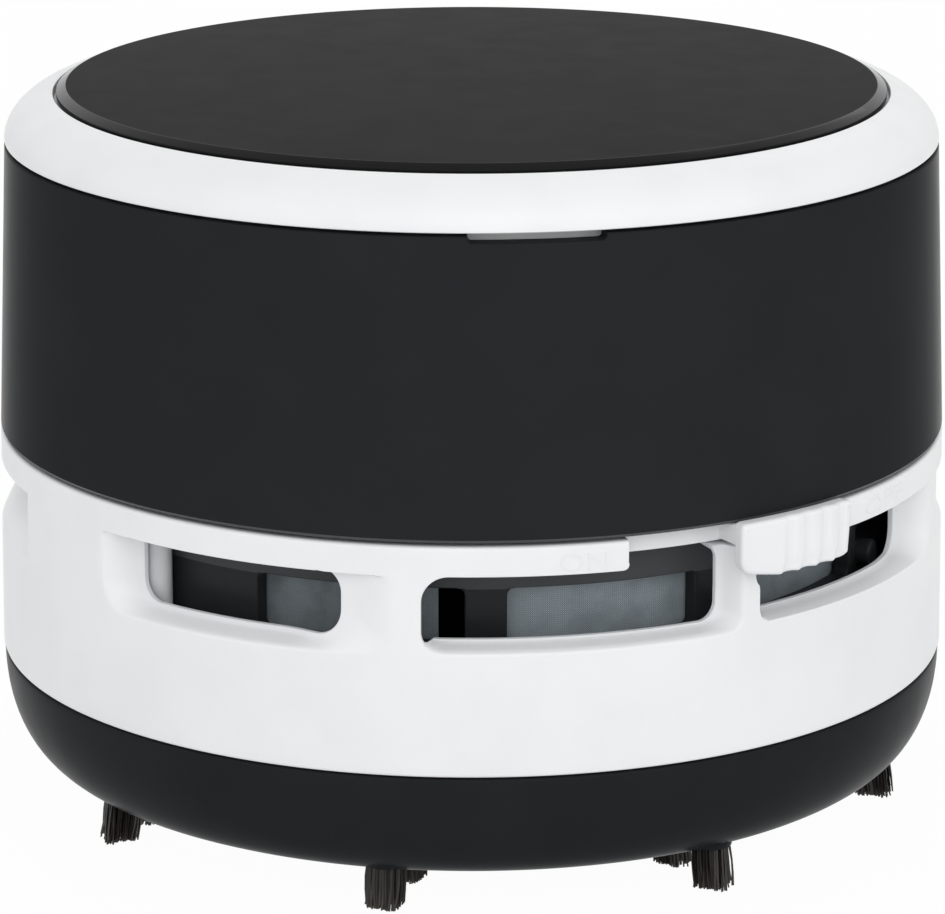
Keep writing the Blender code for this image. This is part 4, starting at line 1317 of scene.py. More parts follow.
@dataclass
class Switch:
    """The finger pad with its flutes, its neck and the carrier behind the lip.

    Attributes:
        reference: radius at which the ways round are measured.
        pad_lean: how far the pad's right side leans in towards its foot.
        pad_knee, pad_tilt: where the foot starts to rise to the left, and how steeply.
        flute_depths: depth of the flutes above, and what they are at the foot.
        neck_inset: how much narrower the neck is than the pad, on either side.
    """

    finishes: Finishes
    reference: float = 42.0 * MM
    pad_angles: Spot = (30.6 * DEG, 46.8 * DEG)
    pad_radii: Spot = (42.35 * MM, 43.5 * MM)
    pad_heights: Spot = (29.25 * MM, 34.15 * MM)
    pad_lean: float = 0.09
    pad_knee: float = 35.7 * DEG
    pad_tilt: float = 0.177
    carrier_angles: Spot = (6 * DEG, 60 * DEG)
    carrier_radii: Spot = (38.3 * MM, 39.6 * MM)
    carrier_heights: Spot = (31.9 * MM, 33.7 * MM)
    flutes: Sequence[float] = (37.2 * DEG, 39.8 * DEG, 42.4 * DEG, 45.0 * DEG)
    flute_radius: float = 1.3 * MM
    flute_depths: Spot = (0.16 * MM, 0.34 * MM)
    foot_heights: Spot = (0.1 * MM, 1.7 * MM)
    pad_corners: Corners = (1.0 * MM, 0.7 * MM, 0.45 * MM, 0.45 * MM)
    neck_inset: float = 0.3 * DEG
    neck_heights: Spot = (32.0 * MM, 33.75 * MM)
    neck_radii: Spot = (39.0 * MM, 42.9 * MM)
    inner_corners: Corners = (0.2 * MM,) * 4
    rims: Triple = (0.38 * MM, 0.1 * MM, 0.12 * MM)
    margin: float = 0.2 * MM
    cell: float = 0.13 * MM

    def _pad_face(self, angle: float, height: float) -> float:
        """Radius of the pad's face, which dips at each flute.

        Args:
            angle: the angle round the ring.
            height: the point's height.

        Returns:
            The radius.
        """
        low = self.pad_heights[0]
        foot = 1 - soft_step(height, *(low + rise for rise in self.foot_heights))
        depth = self.flute_depths[0] + (self.flute_depths[1] - self.flute_depths[0]) * foot
        sink = 0.0
        for flute in self.flutes:
            off = abs(angle - flute) * self.pad_radii[1]
            if off < self.flute_radius:
                drop = math.sqrt(self.flute_radius ** 2 - off ** 2)
                sink = max(sink, drop - (self.flute_radius - depth))
        return self.pad_radii[1] - sink

    def _block(self, angles: Spot, heights: Spot, radii: Spot, corners: Corners,
               rim: float, outer: Field | None = None, lean: float = 0.0,
               tilt: float = 0.0) -> bmesh.types.BMesh:
        """A curved block with rounded corners, whose right side and foot may slope.

        Args:
            angles: its left and right end.
            heights: its foot and top.
            radii: its back and face.
            corners: radii at left bottom, right bottom, left top and right top.
            rim: radius of its rounded edges.
            outer: the face's radius by angle and height, where it isn't even.
            lean: slope of the right side.
            tilt: slope of the foot, left of the knee.

        Returns:
            The block.
        """
        left, right = angles[0] * self.reference, angles[1] * self.reference

        def solid(way: float, height: float) -> float:
            """Signed distance inside the block's outline.

            Args:
                way: the point's way round.
                height: its height.

            Returns:
                The distance, positive inside.
            """
            side = right - lean * (heights[1] - height)
            foot = heights[0] + tilt * max(0.0, self.pad_knee * self.reference - way)
            return -box_distance((way, height), (left, foot), (side, heights[1]), corners)

        return Wall(self.reference,
                    spread_ends(left - self.margin, right + self.margin, self.cell),
                    spread_ends(heights[0] - self.margin, heights[1] + self.margin, self.cell),
                    outer or (lambda angle, height: radii[1]),
                    lambda angle, height: radii[0], solid, rim).build()

    def build(self) -> None:
        """Makes the slider in one piece."""
        slider = self._block(self.pad_angles, self.pad_heights, self.pad_radii,
                             self.pad_corners, self.rims[0], self._pad_face, self.pad_lean,
                             self.pad_tilt)
        neck = (self.pad_angles[0] + self.neck_inset, self.pad_angles[1] - self.neck_inset)
        add_to(slider, self._block(neck, self.neck_heights, self.neck_radii,
                                   self.inner_corners, self.rims[1]))
        add_to(slider, self._block(self.carrier_angles, self.carrier_heights,
                                   self.carrier_radii, self.inner_corners, self.rims[2]))
        finish_piece("switch_pad", slider, [self.finishes["white_shell"]], Body.SWITCH,
                     ["switch_slider"], 50 * DEG)


@dataclass
class Sleeve:
    """The black sleeve with the notch in its upper edge."""

    finishes: Finishes
    low_radius: float = 41.753 * MM
    high_radius: float = 40.803 * MM
    thickness: float = 1.65 * MM
    bottom: float = 33.85 * MM
    top: float = 58.953 * MM
    notch_angles: Spot = (-0.5 * DEG, 15.4 * DEG)
    notch: float = 0.55 * MM
    notch_corners: Corners = (0.35 * MM, 0.35 * MM, 0.0, 0.0)
    bevel: float = 0.28 * MM
    bevel_slope: float = 0.8
    bevel_band: float = 0.6 * MM
    ease: float = 0.2 * MM

    def _plain(self, height: float) -> float:
        """Radius of the plain cone at a height."""
        share = (height - self.bottom) / (self.top - self.bottom)
        return self.low_radius + (self.high_radius - self.low_radius) * share

    def _outer(self, angle: float, height: float) -> float:
        """Outer radius, with a bevel below and a rounded edge above."""
        cut = max(0.0, self.bottom + self.bevel - height) * self.bevel_slope
        return self._plain(height) - cut - drawn_back(self.top - height, self.ease)

    def _inner(self, angle: float, height: float) -> float:
        """Inner radius."""
        return self._plain(height) - self.thickness

    def _solid(self, way: float, height: float) -> float:
        """Signed distance to the sleeve's material, outside the notch."""
        left, right = (a * self.low_radius for a in self.notch_angles)
        return box_distance((way, height), (left, self.top - self.notch),
                            (right, self.top + 3 * MM), self.notch_corners)

    def build(self) -> None:
        """Makes the sleeve."""
        left, right = (a * self.low_radius for a in self.notch_angles)
        half = math.pi * self.low_radius
        ways = spread([(-half, 1.0 * MM), (left - 1 * MM, 0.1 * MM), (left + 1 * MM, 0.8 * MM),
                       (right - 1 * MM, 0.1 * MM), (right + 1 * MM, 1.0 * MM), (half, 1.0)])
        levels = spread([(self.bottom, 0.14 * MM), (self.bottom + self.bevel, 0.7 * MM),
                         (self.bottom + 1 * MM, 3 * MM), (self.top - 1.2 * MM, 0.1 * MM),
                         (self.top - self.ease, 0.05 * MM), (self.top, 1.0)])
        sleeve = Wall(self.low_radius, ways, levels, self._outer, self._inner, self._solid,
                      0.08 * MM, True).build()
        # Faces of the lower bevel take the lighter finish, a painted highlight.
        for face in sleeve.faces:
            middle = face.calc_center_median()
            if (middle.z < self.bottom + self.bevel
                    and math.hypot(middle.x, middle.y) > self.low_radius - self.bevel_band):
                face.material_index = 1
        finish_piece("sleeve_shell", sleeve, [self.finishes["gloss_black"],
                                              self.finishes["sleeve_edge_painted_highlight"]], Body.HOUSING,
                     ["body_band"])


@dataclass
class Cap:
    """The white cap and the black disc laid into it."""

    finishes: Finishes
    rim_radius: float = 40.803 * MM
    edge_centre: float = 34.463 * MM
    edge_size: Spot = (6.34 * MM, 4.2 * MM)
    bottom: float = 59.253 * MM
    recess_radius: float = 36.503 * MM
    rim: float = 63.23 * MM
    floor: float = 62.43 * MM
    web: float = 61.23 * MM
    spigot: Spot = (37.25 * MM, 38.65 * MM)
    spigot_bottom: float = 56.55 * MM
    disc_radius: float = 36.2 * MM
    disc_top: float = 63.83 * MM
    disc_bottom: float = 62.73 * MM
    chamfer: Spot = (0.8 * MM, 0.45 * MM)
    steps: int = 256
    edge_steps: int = 28

    def build(self) -> None:
        """Makes the cap and the disc."""
        wide, tall = self.edge_size
        last = math.acos((self.recess_radius - self.edge_centre) / wide)
        turns = [last * i / self.edge_steps for i in range(self.edge_steps)]
        arc = [(self.edge_centre + wide * math.cos(turn), self.bottom + tall * math.sin(turn))
               for turn in turns]
        edge = rounded([(*arc[-1], 0.0), (self.recess_radius, self.rim, 0.15 * MM),
                        (self.recess_radius, self.floor, 0.1 * MM), (0.0, self.floor, 0.0)],
                       False)
        under = rounded([(0.0, self.web, 0.0), (self.spigot[0], self.web, 0.5 * MM),
                         (self.spigot[0], self.spigot_bottom, 0.2 * MM),
                         (self.spigot[1], self.spigot_bottom, 0.3 * MM),
                         (self.spigot[1], self.bottom, 0.2 * MM),
                         (self.rim_radius - 0.1 * MM, self.bottom, 0.0)], False)
        foot = [(self.rim_radius, self.bottom + 0.08 * MM)]
        cap = lathe(foot + arc[1:-1] + edge + under, self.steps)
        finish_piece("cap_shell", cap, [self.finishes["white_shell"]], Body.LID,
                     ["battery_lid"])

        wide, drop = self.chamfer
        disc = lathe(rounded([
            (0.0, self.disc_top, 0.0), (self.disc_radius - wide, self.disc_top, 0.12 * MM),
            (self.disc_radius, self.disc_top - drop, 0.06 * MM),
            (self.disc_radius, self.disc_bottom, 0.1 * MM), (0.0, self.disc_bottom, 0.0)]),
            self.steps)
        for face in disc.faces:
            middle = face.calc_center_median()
            if math.hypot(middle.x, middle.y) > self.disc_radius - wide - 0.05 * MM:
                face.material_index = 1
        finish_piece("cap_inlay", disc, [self.finishes["inlay_satin"],
                                         self.finishes["inlay_edge"]], Body.LID,
                     ["top_disc"], 30 * DEG)


@dataclass
class Filter:
    """The black cage behind the vents and the cloth sleeve in it."""

    finishes: Finishes
    radii: Spot = (35.2 * MM, 36.6 * MM)
    heights: Spot = (23.1 * MM, 31.3 * MM)
    window_top: float = 28.5 * MM
    flange: tuple[float, float, float] = (39.9 * MM, 22.1 * MM, 23.2 * MM)
    cloth_radii: Spot = (34.5 * MM, 34.9 * MM)
    cloth_heights: Spot = (22.4 * MM, 31.0 * MM)
    seam_angles: Spot = (-4.5 * DEG, -0.7 * DEG)
    peg: tuple[float, float, float] = (1.15 * MM, 66.5 * DEG, 25.15 * MM)
    windows: Sequence[tuple[float, float, float]] = (
        (-79, -47.5, 23.7), (-29, -0.9, 23.7), (4.6, 30.4, 23.7), (36, 62.6, 23.7),
        (65, 86, 25.8), (95, 119, 23.7), (126, 150, 23.7), (157, 181, 23.7),
        (188, 212, 23.7), (219, 243, 23.7), (250, 274, 23.7))
    corner: float = 0.6 * MM

    def _solid(self, way: float, height: float) -> float:
        """Signed distance to the cage's material."""
        made = 1.0
        high = self.window_top
        for start, end, low in self.windows:
            middle = (start + end) / 2 * DEG
            turned = (way / self.radii[1] - middle + math.pi) % (2 * math.pi) - math.pi
            half = (end - start) / 2 * DEG * self.radii[1]
            made = min(made, box_distance((turned * self.radii[1], height),
                                          (-half, low * MM), (half, high),
                                          (self.corner,) * 4))
        return made

    def _peg(self) -> bmesh.types.BMesh:
        """The short round peg that locates the cage in the ring."""
        size, angle, height = self.peg
        peg = lathe(rounded([(0.0, 0.0, 0.0), (size, 0.0, 0.0),
                             (size, 1.5 * MM, 0.3 * MM), (0.0, 1.5 * MM, 0.0)]), 32)
        peg.transform(Matrix.Translation(polar(36.4 * MM, angle, height))
                      @ Matrix.Rotation(angle, 4, "Z") @ Matrix.Rotation(math.pi / 2, 4, "X"))
        return peg

    def build(self) -> None:
        """Makes the cage with its flange, and the cloth."""
        seam = 32.5 * DEG
        ways = spread([((seam - 2 * math.pi) * self.radii[1], 0.45 * MM),
                       (seam * self.radii[1], 1.0)])
        low, high = self.heights
        levels = spread([(low, 0.3 * MM), (23.6 * MM, 0.15 * MM), (24.4 * MM, 0.5 * MM),
                         (27.8 * MM, 0.15 * MM), (28.6 * MM, 0.6 * MM),
                         (high - 0.3 * MM, 0.1 * MM), (high, 1.0)])

        def outer(angle: float, height: float) -> float:
            """The cage's outer radius, eased at its top edge."""
            ease = 0.3 * MM
            gap = high - height
            if gap >= ease:
                return self.radii[1]
            return self.radii[1] - ease + math.sqrt(max(0.0, ease ** 2 - (ease - gap) ** 2))

        cage = Wall(self.radii[1], ways, levels, outer, lambda angle, height: self.radii[0],
                    self._solid, 0.15 * MM, True).build()
        wide, bottom, top = self.flange
        add_to(cage, lathe(rounded([
            (self.radii[0], bottom, 0.1 * MM), (wide, bottom, 0.15 * MM),
            (wide, top, 0.15 * MM), (self.radii[0], top, 0.1 * MM)]), 180))
        add_to(cage, self._peg())
        # Faces above the windows take the lighter finish, painted light on the cage's top.
        for face in cage.faces:
            if face.calc_center_median().z > self.window_top:
                face.material_index = 1
        finish_piece("filter_cage", cage, [self.finishes["cage_black"],
                                           self.finishes["cage_top_painted_light"]], Body.HOUSING,
                     ["filter_frame"])

        start = self.seam_angles[1] * self.cloth_radii[1]
        end = (self.seam_angles[0] + 2 * math.pi) * self.cloth_radii[1]

        def cloth(way: float, height: float) -> float:
            """Signed distance inside the cloth's outline."""
            return -box_distance((way, height), (start, self.cloth_heights[0]),
                                 (end, self.cloth_heights[1]), (0.8 * MM,) * 4)

        sheet = Wall(self.cloth_radii[1],
                     spread([(start - 0.4 * MM, 0.25 * MM), (start + 2 * MM, 1.2 * MM),
                             (end - 2 * MM, 0.25 * MM), (end + 0.4 * MM, 1.0)]),
                     spread([(self.cloth_heights[0] - 0.4 * MM, 0.25 * MM),
                             (24.0 * MM, 1.0 * MM), (29.6 * MM, 0.25 * MM),
                             (self.cloth_heights[1] + 0.4 * MM, 1.0)]),
                     lambda angle, height: self.cloth_radii[1],
                     lambda angle, height: self.cloth_radii[0], cloth, 0.08 * MM).build()
        finish_piece("filter_cloth", sheet, [self.finishes["filter_cloth"]], Body.HOUSING,
                     ["filter_mesh"])


@dataclass
class Base:
    """The black bowl with its inlet and its brush tufts."""

    finishes: Finishes
    bottom: float = 4.0 * MM
    rim: float = 13.8 * MM
    radius: float = 41.903 * MM
    fullness: float = 0.91
    flat: float = 36.003 * MM
    wall: float = 1.8 * MM
    spigot: Spot = (38.303 * MM, 39.903 * MM)
    spigot_top: float = 21.8 * MM
    hole: float = 11.1 * MM
    lug_starts: Sequence[float] = (20 * DEG, 140 * DEG, 260 * DEG)
    lug_width: float = 12 * DEG
    lug_heights: Spot = (16.05 * MM, 18.05 * MM)
    lug_radius: float = 40.8 * MM
    inlet: Spot = (9.0 * MM, 10.8 * MM)
    inlet_top: float = 21.6 * MM
    first_angle: float = -11.5 * DEG
    count: int = 8
    rows: Sequence[tuple[str, float, float]] = (
        ("outer", 35.8 * MM, 36.3 * MM), ("inner", 28.9 * MM, 29.3 * MM))
    shifts: Mapping[str, Spot] = field(default_factory=lambda: {
        "outer_1": (-0.1, -0.3), "outer_2": (0.3, 0.5), "outer_3": (0.3, 0.4),
        "outer_8": (-1.8, -0.2), "inner_1": (0.7, -0.3), "inner_2": (1.4, 0.9),
        "inner_8": (-5.6, 2.1)})
    socket: Spot = (1.6 * MM, 1.8 * MM)
    strands: int = 130
    strand_radius: float = 0.125 * MM

    def _bowl(self) -> bmesh.types.BMesh:
        """The bowl with its spigot and lugs, spun and joined."""
        turns = [math.pi / 2 * i / 24 for i in range(1, 24)]
        curve = [(self.flat + (self.radius - self.flat) * math.sin(turn) ** self.fullness,
                  self.rim - (self.rim - self.bottom) * math.cos(turn) ** self.fullness)
                 for turn in turns]
        inside = self.flat - self.wall
        floor = self.bottom + self.wall
        hollow = [(inside + (self.spigot[0] - inside) * math.sin(math.pi / 2 * i / 12),
                   floor + 5 * MM - 5 * MM * math.cos(math.pi / 2 * i / 12))
                  for i in range(1, 12)]
        top = rounded([(self.spigot[0], floor + 5 * MM, 0.0),
                       (self.spigot[0], self.spigot_top, 0.2 * MM),
                       (self.spigot[1], self.spigot_top, 0.2 * MM),
                       (self.spigot[1], self.rim, 0.1 * MM),
                       (self.radius, self.rim, 0.25 * MM), (*curve[-1], 0.0)], False)
        mouth = rounded([(self.flat, self.bottom, 0.0), (self.hole, self.bottom, 0.2 * MM),
                         (self.hole, floor, 0.2 * MM), (inside, floor, 0.0)], False)
        bowl = lathe(top + curve[-2::-1] + mouth + hollow, 240)
        for start in self.lug_starts:
            left, right = start * self.lug_radius, (start + self.lug_width) * self.lug_radius

            def solid(way: float, height: float, left: float = left,
                      right: float = right) -> float:
                """Signed distance inside a lug's outline."""
                return -box_distance((way, height), (left, self.lug_heights[0]),
                                     (right, self.lug_heights[1]), (0.3 * MM,) * 4)

            add_to(bowl, Wall(self.lug_radius,
                              spread([(left - 0.2 * MM, 0.3 * MM), (right + 0.2 * MM, 1.0)]),
                              spread([(15.9 * MM, 0.2 * MM), (18.3 * MM, 1.0)]),
                              lambda angle, height: self.lug_radius,
                              lambda angle, height: self.spigot[1] - 0.5 * MM,
                              solid, 0.15 * MM).build())
        return bowl

    def _places(self) -> Iterable[tuple[str, float, float, float]]:
        """Name, angle, root radius and tip radius of each tuft."""
        for i in range(self.count):
            angle = self.first_angle + i * 2 * math.pi / self.count
            for row, root, tip in self.rows:
                name = "%s_%d" % (row, i + 1)
                turn, out = self.shifts.get(name, (0.0, 0.0))
                yield name, angle + turn * DEG, root + out * MM, tip + out * MM

    def _socket_ring(self, centre: Vector) -> bmesh.types.BMesh:
        """A low collar round the mouth of a tuft's socket."""
        inner, outer = self.socket
        high, low = self.bottom + 0.6 * MM, self.bottom - 0.05 * MM
        ring = lathe(rounded([
            (inner, high, 0.0), (inner, low, 0.05 * MM), (outer, low, 0.1 * MM),
            (outer + 0.15 * MM, high, 0.0)]), 32)
        ring.transform(Matrix.Translation(centre))
        return ring

    def _strand(self) -> bpy.types.Mesh:
        """One straight tapered strand, a unit long and cut into four lengths."""
        bm = bmesh.new()
        bmesh.ops.create_cone(bm, cap_ends=True, segments=3, depth=1.0,
                              radius1=self.strand_radius * 0.7, radius2=self.strand_radius)
        sides = [e for e in bm.edges if abs(e.verts[0].co.z - e.verts[1].co.z) > 0.5]
        bmesh.ops.subdivide_edges(bm, edges=sides, cuts=3)
        mesh = bpy.data.meshes.new("strand")
        bm.to_mesh(mesh)
        bm.free()
        return mesh

    def _tuft(self, strand: bpy.types.Mesh, angle: float, root: float, tip: float,
              seed: int) -> bmesh.types.BMesh:
        """A bundle of strands that spread and bend from a socket to the table.

        Args:
            strand: the straight strand.
            angle: the tuft's place round the base.
            root: radius of the socket.
            tip: radius of the tips' middle.
            seed: makes each tuft's spread its own.

        Returns:
            The bundle.
        """
        dice = random.Random(seed)
        bm = bmesh.new()
        top = self.bottom + 0.9 * MM
        turn = Matrix.Rotation(angle, 3, "Z")
        for i in range(self.strands):
            share = math.sqrt((i + 0.5) / self.strands)
            way = i * 2.39996 + dice.uniform(-0.4, 0.4)
            start = polar(root, 0) + polar(1.5 * MM * share, way)
            splay = 1.65 * MM * share + dice.gauss(0, 0.1 * MM)
            end = polar(tip, 0) + polar(splay, way + dice.gauss(0, 0.1))
            short = (abs(dice.gauss(0, 0.12 * MM)) + 0.2 * MM * share * share
                     + 0.2 * MM * (1 + math.sin(3 * way + seed)) * share)
            bend = dice.uniform(-0.22, 0.3) * MM
            bm.from_mesh(strand)
            bm.verts.ensure_lookup_table()
            for vert in bm.verts[-len(strand.vertices):]:
                down = 0.5 - vert.co.z
                middle = start.lerp(end, down ** 1.35)
                middle += polar(bend * math.sin(math.pi * down), way)
                spot = middle + Vector((vert.co.x, vert.co.y, 0))
                spot.z = top + (short - top) * down
                vert.co = turn @ spot
        return bm

    def build(self) -> None:
        """Makes the bowl, the inlet and the tufts."""
        bowl = self._bowl()
        for _, angle, root, _ in self._places():
            add_to(bowl, self._socket_ring(polar(root, angle)))
        finish_piece("base_bowl", bowl, [self.finishes["base_black"]], Body.BASE,
                     ["base_cover"])

        inner, outer = self.inlet
        low = self.bottom + self.wall + 0.3 * MM
        chimney = lathe(rounded([
            (outer, self.inlet_top, 0.5 * MM), (outer, low + 1.2 * MM, 0.4 * MM),
            (outer + 3.2 * MM, low + 1.2 * MM, 0.2 * MM), (outer + 3.2 * MM, low, 0.2 * MM),
            (outer, low, 0.0), (outer, self.bottom, 0.2 * MM),
            (inner, self.bottom, 0.6 * MM), (inner, self.inlet_top, 0.5 * MM)]), 128)
        finish_piece("inlet_chimney", chimney, [self.finishes["base_black"]], Body.BASE,
                     ["suction_inlet"])

        strand = self._strand()
        for number, (name, angle, root, tip) in enumerate(self._places()):
            finish_piece("tuft_" + name, self._tuft(strand, angle, root, tip, 40 + number),
                         [self.finishes["bristle_nylon"]], Body.BASE, ["brush_" + name],
                         80 * DEG)


@dataclass
class PowerPack:
    """The two dry cells and the springs at their ends."""

    finishes: Finishes
    radius: float = 7.1 * MM
    nub: Spot = (2.75 * MM, 1.0 * MM)
    wire: float = 0.28 * MM
    turns: float = 4.5
    cells: Sequence[str] = ("front", "rear")

    def _cell(self, name: str) -> None:
        """One cell: a printed wrapper, rolled shoulders and plain metal ends."""
        low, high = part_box("cell_" + name)
        length = high.x - low.x
        toward = self._nub_side(name)
        wrap = [(self.radius - 0.9 * MM, 0.0, 0.0), (self.radius - 0.9 * MM, 0.15 * MM, 0.1 * MM),
                (self.radius - 0.15 * MM, 0.0, 0.3 * MM), (self.radius, 0.5 * MM, 0.2 * MM)]
        body = length - self.nub[1]
        profile = rounded([(0.0, 0.12 * MM, 0.0), *wrap[1:],
                           (self.radius, body - 0.5 * MM, 0.2 * MM),
                           (self.radius - 0.2 * MM, body, 0.3 * MM),
                           (self.radius - 1.3 * MM, body - 0.1 * MM, 0.1 * MM),
                           (self.nub[0] + 0.6 * MM, body - 0.4 * MM, 0.2 * MM),
                           (self.nub[0], body - 0.2 * MM, 0.15 * MM),
                           (self.nub[0], length, 0.35 * MM), (0.0, length, 0.0)])
        cell = lathe(profile, 96)
        for face in cell.faces:
            middle = face.calc_center_median()
            reach = math.hypot(middle.x, middle.y)
            face.material_index = 0 if reach > self.radius - 1.15 * MM else 1
        turn = Matrix.Rotation(toward * math.pi / 2, 4, "Y")
        start = low.x if toward > 0 else high.x
        middle = (low + high) / 2
        cell.transform(Matrix.Translation((start, middle.y, middle.z)) @ turn)
        band = start + toward * body
        wrapper = Wrapper("cell_film_" + name, (36, 40, 46), (190, 122, 70), band,
                          band - toward * 13 * MM).build()
        finish_piece("dry_cell_" + name, cell, [wrapper, self.finishes["spring_steel"]],
                     Body.HOUSING, ["cell_" + name])

    def _nub_side(self, name: str) -> int:
        """Which way a cell's nub points: away from its spring."""
        spring = sum(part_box("cell_spring_" + name), Vector((0, 0, 0))) / 2
        cell = sum(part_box("cell_" + name), Vector((0, 0, 0))) / 2
        return 1 if spring.x < cell.x else -1

    def _spring(self, name: str) -> None:
        """A conical coil, swept by a turning and moving circle."""
        low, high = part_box("cell_spring_" + name)
        middle = (low + high) / 2
        toward = self._nub_side(name)
        length = high.x - low.x - 2 * self.wire
        wide, narrow = (high.y - low.y) / 2 - self.wire, 2.0 * MM
        bm = bmesh.new()
        bmesh.ops.create_circle(bm, segments=8, radius=self.wire, cap_ends=True,
                                matrix=Matrix.Translation((1.0, 0, 0))
                                @ Matrix.Rotation(math.pi / 2, 4, "X"))
        steps = round(self.turns * 28)
        bmesh.ops.spin(bm, geom=bm.faces[:] + bm.edges[:] + bm.verts[:], cent=(0, 0, 0),
                       axis=(0, 0, 1), dvec=(0, 0, length / steps),
                       angle=self.turns * 2 * math.pi, steps=steps)
        bmesh.ops.remove_doubles(bm, verts=bm.verts[:], dist=TINY)
        for vert in bm.verts:
            way = Vector((vert.co.x, vert.co.y))
            share = min(1.0, max(0.0, vert.co.z / length))
            coil = wide + (narrow - wide) * share
            thick = way.length - 1.0
            vert.co.x, vert.co.y = way.normalized() * (coil + thick)
        bmesh.ops.recalc_face_normals(bm, faces=bm.faces[:])
        start = low.x + self.wire if toward > 0 else high.x - self.wire
        bm.transform(Matrix.Translation((start, middle.y, middle.z))
                     @ Matrix.Rotation(toward * math.pi / 2, 4, "Y"))
        finish_piece("coil_" + name, bm, [self.finishes["spring_steel"]], Body.HOUSING,
                     ["cell_spring_" + name])

    def build(self) -> None:
        """Makes both cells and both springs."""
        for name in self.cells:
            self._cell(name)
            self._spring(name)


@dataclass
class CarriedParts:
    """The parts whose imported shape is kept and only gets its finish."""

    finishes: Finishes
    looks: Mapping[str, str] = field(default_factory=lambda: {
        "slider_contact": "contact_nickel", "switch_tab_a": "contact_nickel",
        "switch_tab_b": "contact_nickel", "chassis": "chassis_grey",
        "contact_front": "contact_nickel", "contact_rear": "contact_nickel",
        "contact_bridge": "contact_nickel", "motor_can": "can_steel",
        "motor_endbell": "fan_black", "motor_bush": "bush_bronze",
        "motor_rotor": "bush_bronze", "motor_shaft": "can_steel", "impeller": "fan_black",
        "housing_screw_1": "can_steel", "housing_screw_2": "can_steel",
        "wire_minus": "black_wire", "wire_switch": "red_wire", "wire_plus": "red_wire"})

    def dress(self, nodes: Mapping[str, bpy.types.Object]) -> None:
        """Gives each kept part its finish."""
        for name, look in self.looks.items():
            slots = nodes[name].data.materials
            for i in range(len(slots)):
                slots[i] = self.finishes[look]
            if not slots:
                slots.append(self.finishes[look])
        log.info("kept parts dressed: %d", len(self.looks))


# Surroundings


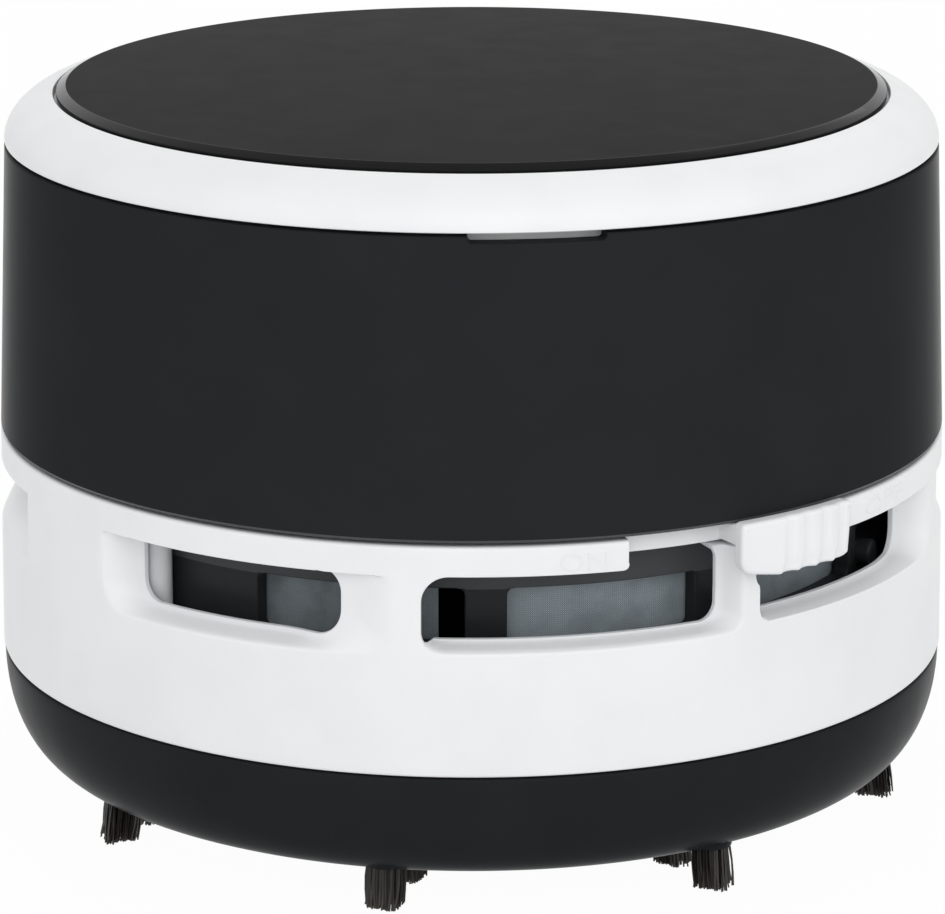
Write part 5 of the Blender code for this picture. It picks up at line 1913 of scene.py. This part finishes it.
@dataclass
class Studio:
    """The camera, the soft lamps, the pale floor and the white surroundings."""

    lens: float = 177.45
    stand: tuple[float, float, float] = (0.00008, -0.4010, 0.1418)
    pitch: float = 15.65 * DEG
    floor_size: float = 6.0
    floor_glow: float = 0.97
    around: float = 0.7
    lamps: Sequence[tuple[str, tuple[float, float, float], float, float]] = (
        ("key_lamp", (0.05, -0.95, 0.62), 0.9, 3.4),
        ("left_lamp", (-0.75, -0.7, 0.35), 0.7, 0.35),
        ("right_lamp", (0.8, -0.6, 0.35), 0.7, 0.9),
        ("back_lamp", (0.1, 0.9, 0.8), 0.8, 1.0),
    )

    def _camera(self) -> None:
        """Sets the camera at the photograph's angle."""
        data = bpy.data.cameras.new("camera")
        data.lens = self.lens
        data.sensor_width = 36.0
        data.clip_start, data.clip_end = 0.01, 50.0
        camera = bpy.data.objects.new("camera", data)
        camera.location = self.stand
        camera.rotation_euler = (math.pi / 2 - self.pitch, 0, 0)
        bpy.context.scene.collection.objects.link(camera)
        bpy.context.scene.camera = camera

    def _world(self) -> None:
        """White behind the object, and a plain soft light from all round."""
        world = bpy.data.worlds.new("surroundings")
        bpy.context.scene.world = world
        world.use_nodes = True
        tree = world.node_tree
        tree.nodes.clear()
        out = tree.nodes.new("ShaderNodeOutputWorld")
        mix = tree.nodes.new("ShaderNodeMixShader")
        seen = tree.nodes.new("ShaderNodeBackground")
        soft = tree.nodes.new("ShaderNodeBackground")
        path = tree.nodes.new("ShaderNodeLightPath")
        seen.inputs[0].default_value = (1, 1, 1, 1)
        soft.inputs[0].default_value = (1, 1, 1, 1)
        soft.inputs[1].default_value = self.around
        self._shown(tree, path, mix.inputs[0])
        tree.links.new(soft.outputs[0], mix.inputs[1])
        tree.links.new(seen.outputs[0], mix.inputs[2])
        tree.links.new(mix.outputs[0], out.inputs[0])

    @staticmethod
    def _shown(tree: bpy.types.NodeTree, path: bpy.types.Node,
               socket: bpy.types.NodeSocket) -> None:
        """Feeds a socket with one for camera, glossy and transmission rays."""
        last = path.outputs["Is Camera Ray"]
        for name in ("Is Glossy Ray", "Is Transmission Ray"):
            most = tree.nodes.new("ShaderNodeMath")
            most.operation = "MAXIMUM"
            tree.links.new(last, most.inputs[0])
            tree.links.new(path.outputs[name], most.inputs[1])
            last = most.outputs[0]
        tree.links.new(last, socket)

    def _lamps(self) -> None:
        """Hangs the square soft lamps, each turned to the object."""
        target = Vector((0, 0, 0.03))
        for name, place, size, power in self.lamps:
            data = bpy.data.lights.new(name, "AREA")
            data.shape = "SQUARE"
            data.size = size
            data.energy = power
            lamp = bpy.data.objects.new(name, data)
            lamp.location = place
            lamp.rotation_euler = (target - Vector(place)).to_track_quat("-Z", "Y").to_euler()
            bpy.context.scene.collection.objects.link(lamp)

    def _floor(self) -> None:
        """Lays the pale floor, which shows white to the camera away from the shadow."""
        nodes = Nodes("floor_paper")
        grain = nodes.noise(1.5 * MM, 3.0)
        nodes.set(Base_Color=nodes.blend(grain, (238, 238, 238), (242, 242, 242)),
                  Roughness=grain * 0.1 + 0.75, Specular_IOR_Level=0.1)
        path = nodes.add("ShaderNodeLightPath")
        share = nodes.add("ShaderNodeMath", {"operation": "MULTIPLY"},
                          {1: self.floor_glow})
        self._shown(nodes.tree, path, share.inputs[0])
        glow = nodes.add("ShaderNodeEmission", {}, {"Color": (1, 1, 1, 1), "Strength": 1.0})
        mix = nodes.add("ShaderNodeMixShader", {}, {0: share.outputs[0],
                                                    1: nodes.shader.outputs[0],
                                                    2: glow.outputs[0]})
        nodes.feed(nodes.output.inputs[0], mix.outputs[0])
        bm = bmesh.new()
        bmesh.ops.create_grid(bm, x_segments=8, y_segments=8, size=self.floor_size / 2)
        mesh = bpy.data.meshes.new("floor")
        bm.to_mesh(mesh)
        bm.free()
        mesh.materials.append(nodes.material)
        floor = bpy.data.objects.new("floor", mesh)
        bpy.context.scene.collection.objects.link(floor)
        floor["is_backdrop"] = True

    def build(self) -> None:
        """Builds the surroundings."""
        self._camera()
        self._world()
        self._lamps()
        self._floor()
        bpy.context.scene.view_settings.view_transform = "Standard"


def corners() -> list[list[float]]:
    """The whole box as plain lists."""
    return [list(corner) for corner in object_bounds()]


def main() -> None:
    """Builds every sub-assembly in order."""
    logging.basicConfig(level=logging.INFO, format="%(message)s", force=True)
    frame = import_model()
    Studio().build()
    finishes = Finishes()
    finishes.build()
    for assembly in (Cap, Sleeve, VentRing, Switch, Filter, Base, PowerPack):
        assembly(finishes).build()
    CarriedParts(finishes).dress(frame["nodes"])


if __name__ == "__main__":
    main()
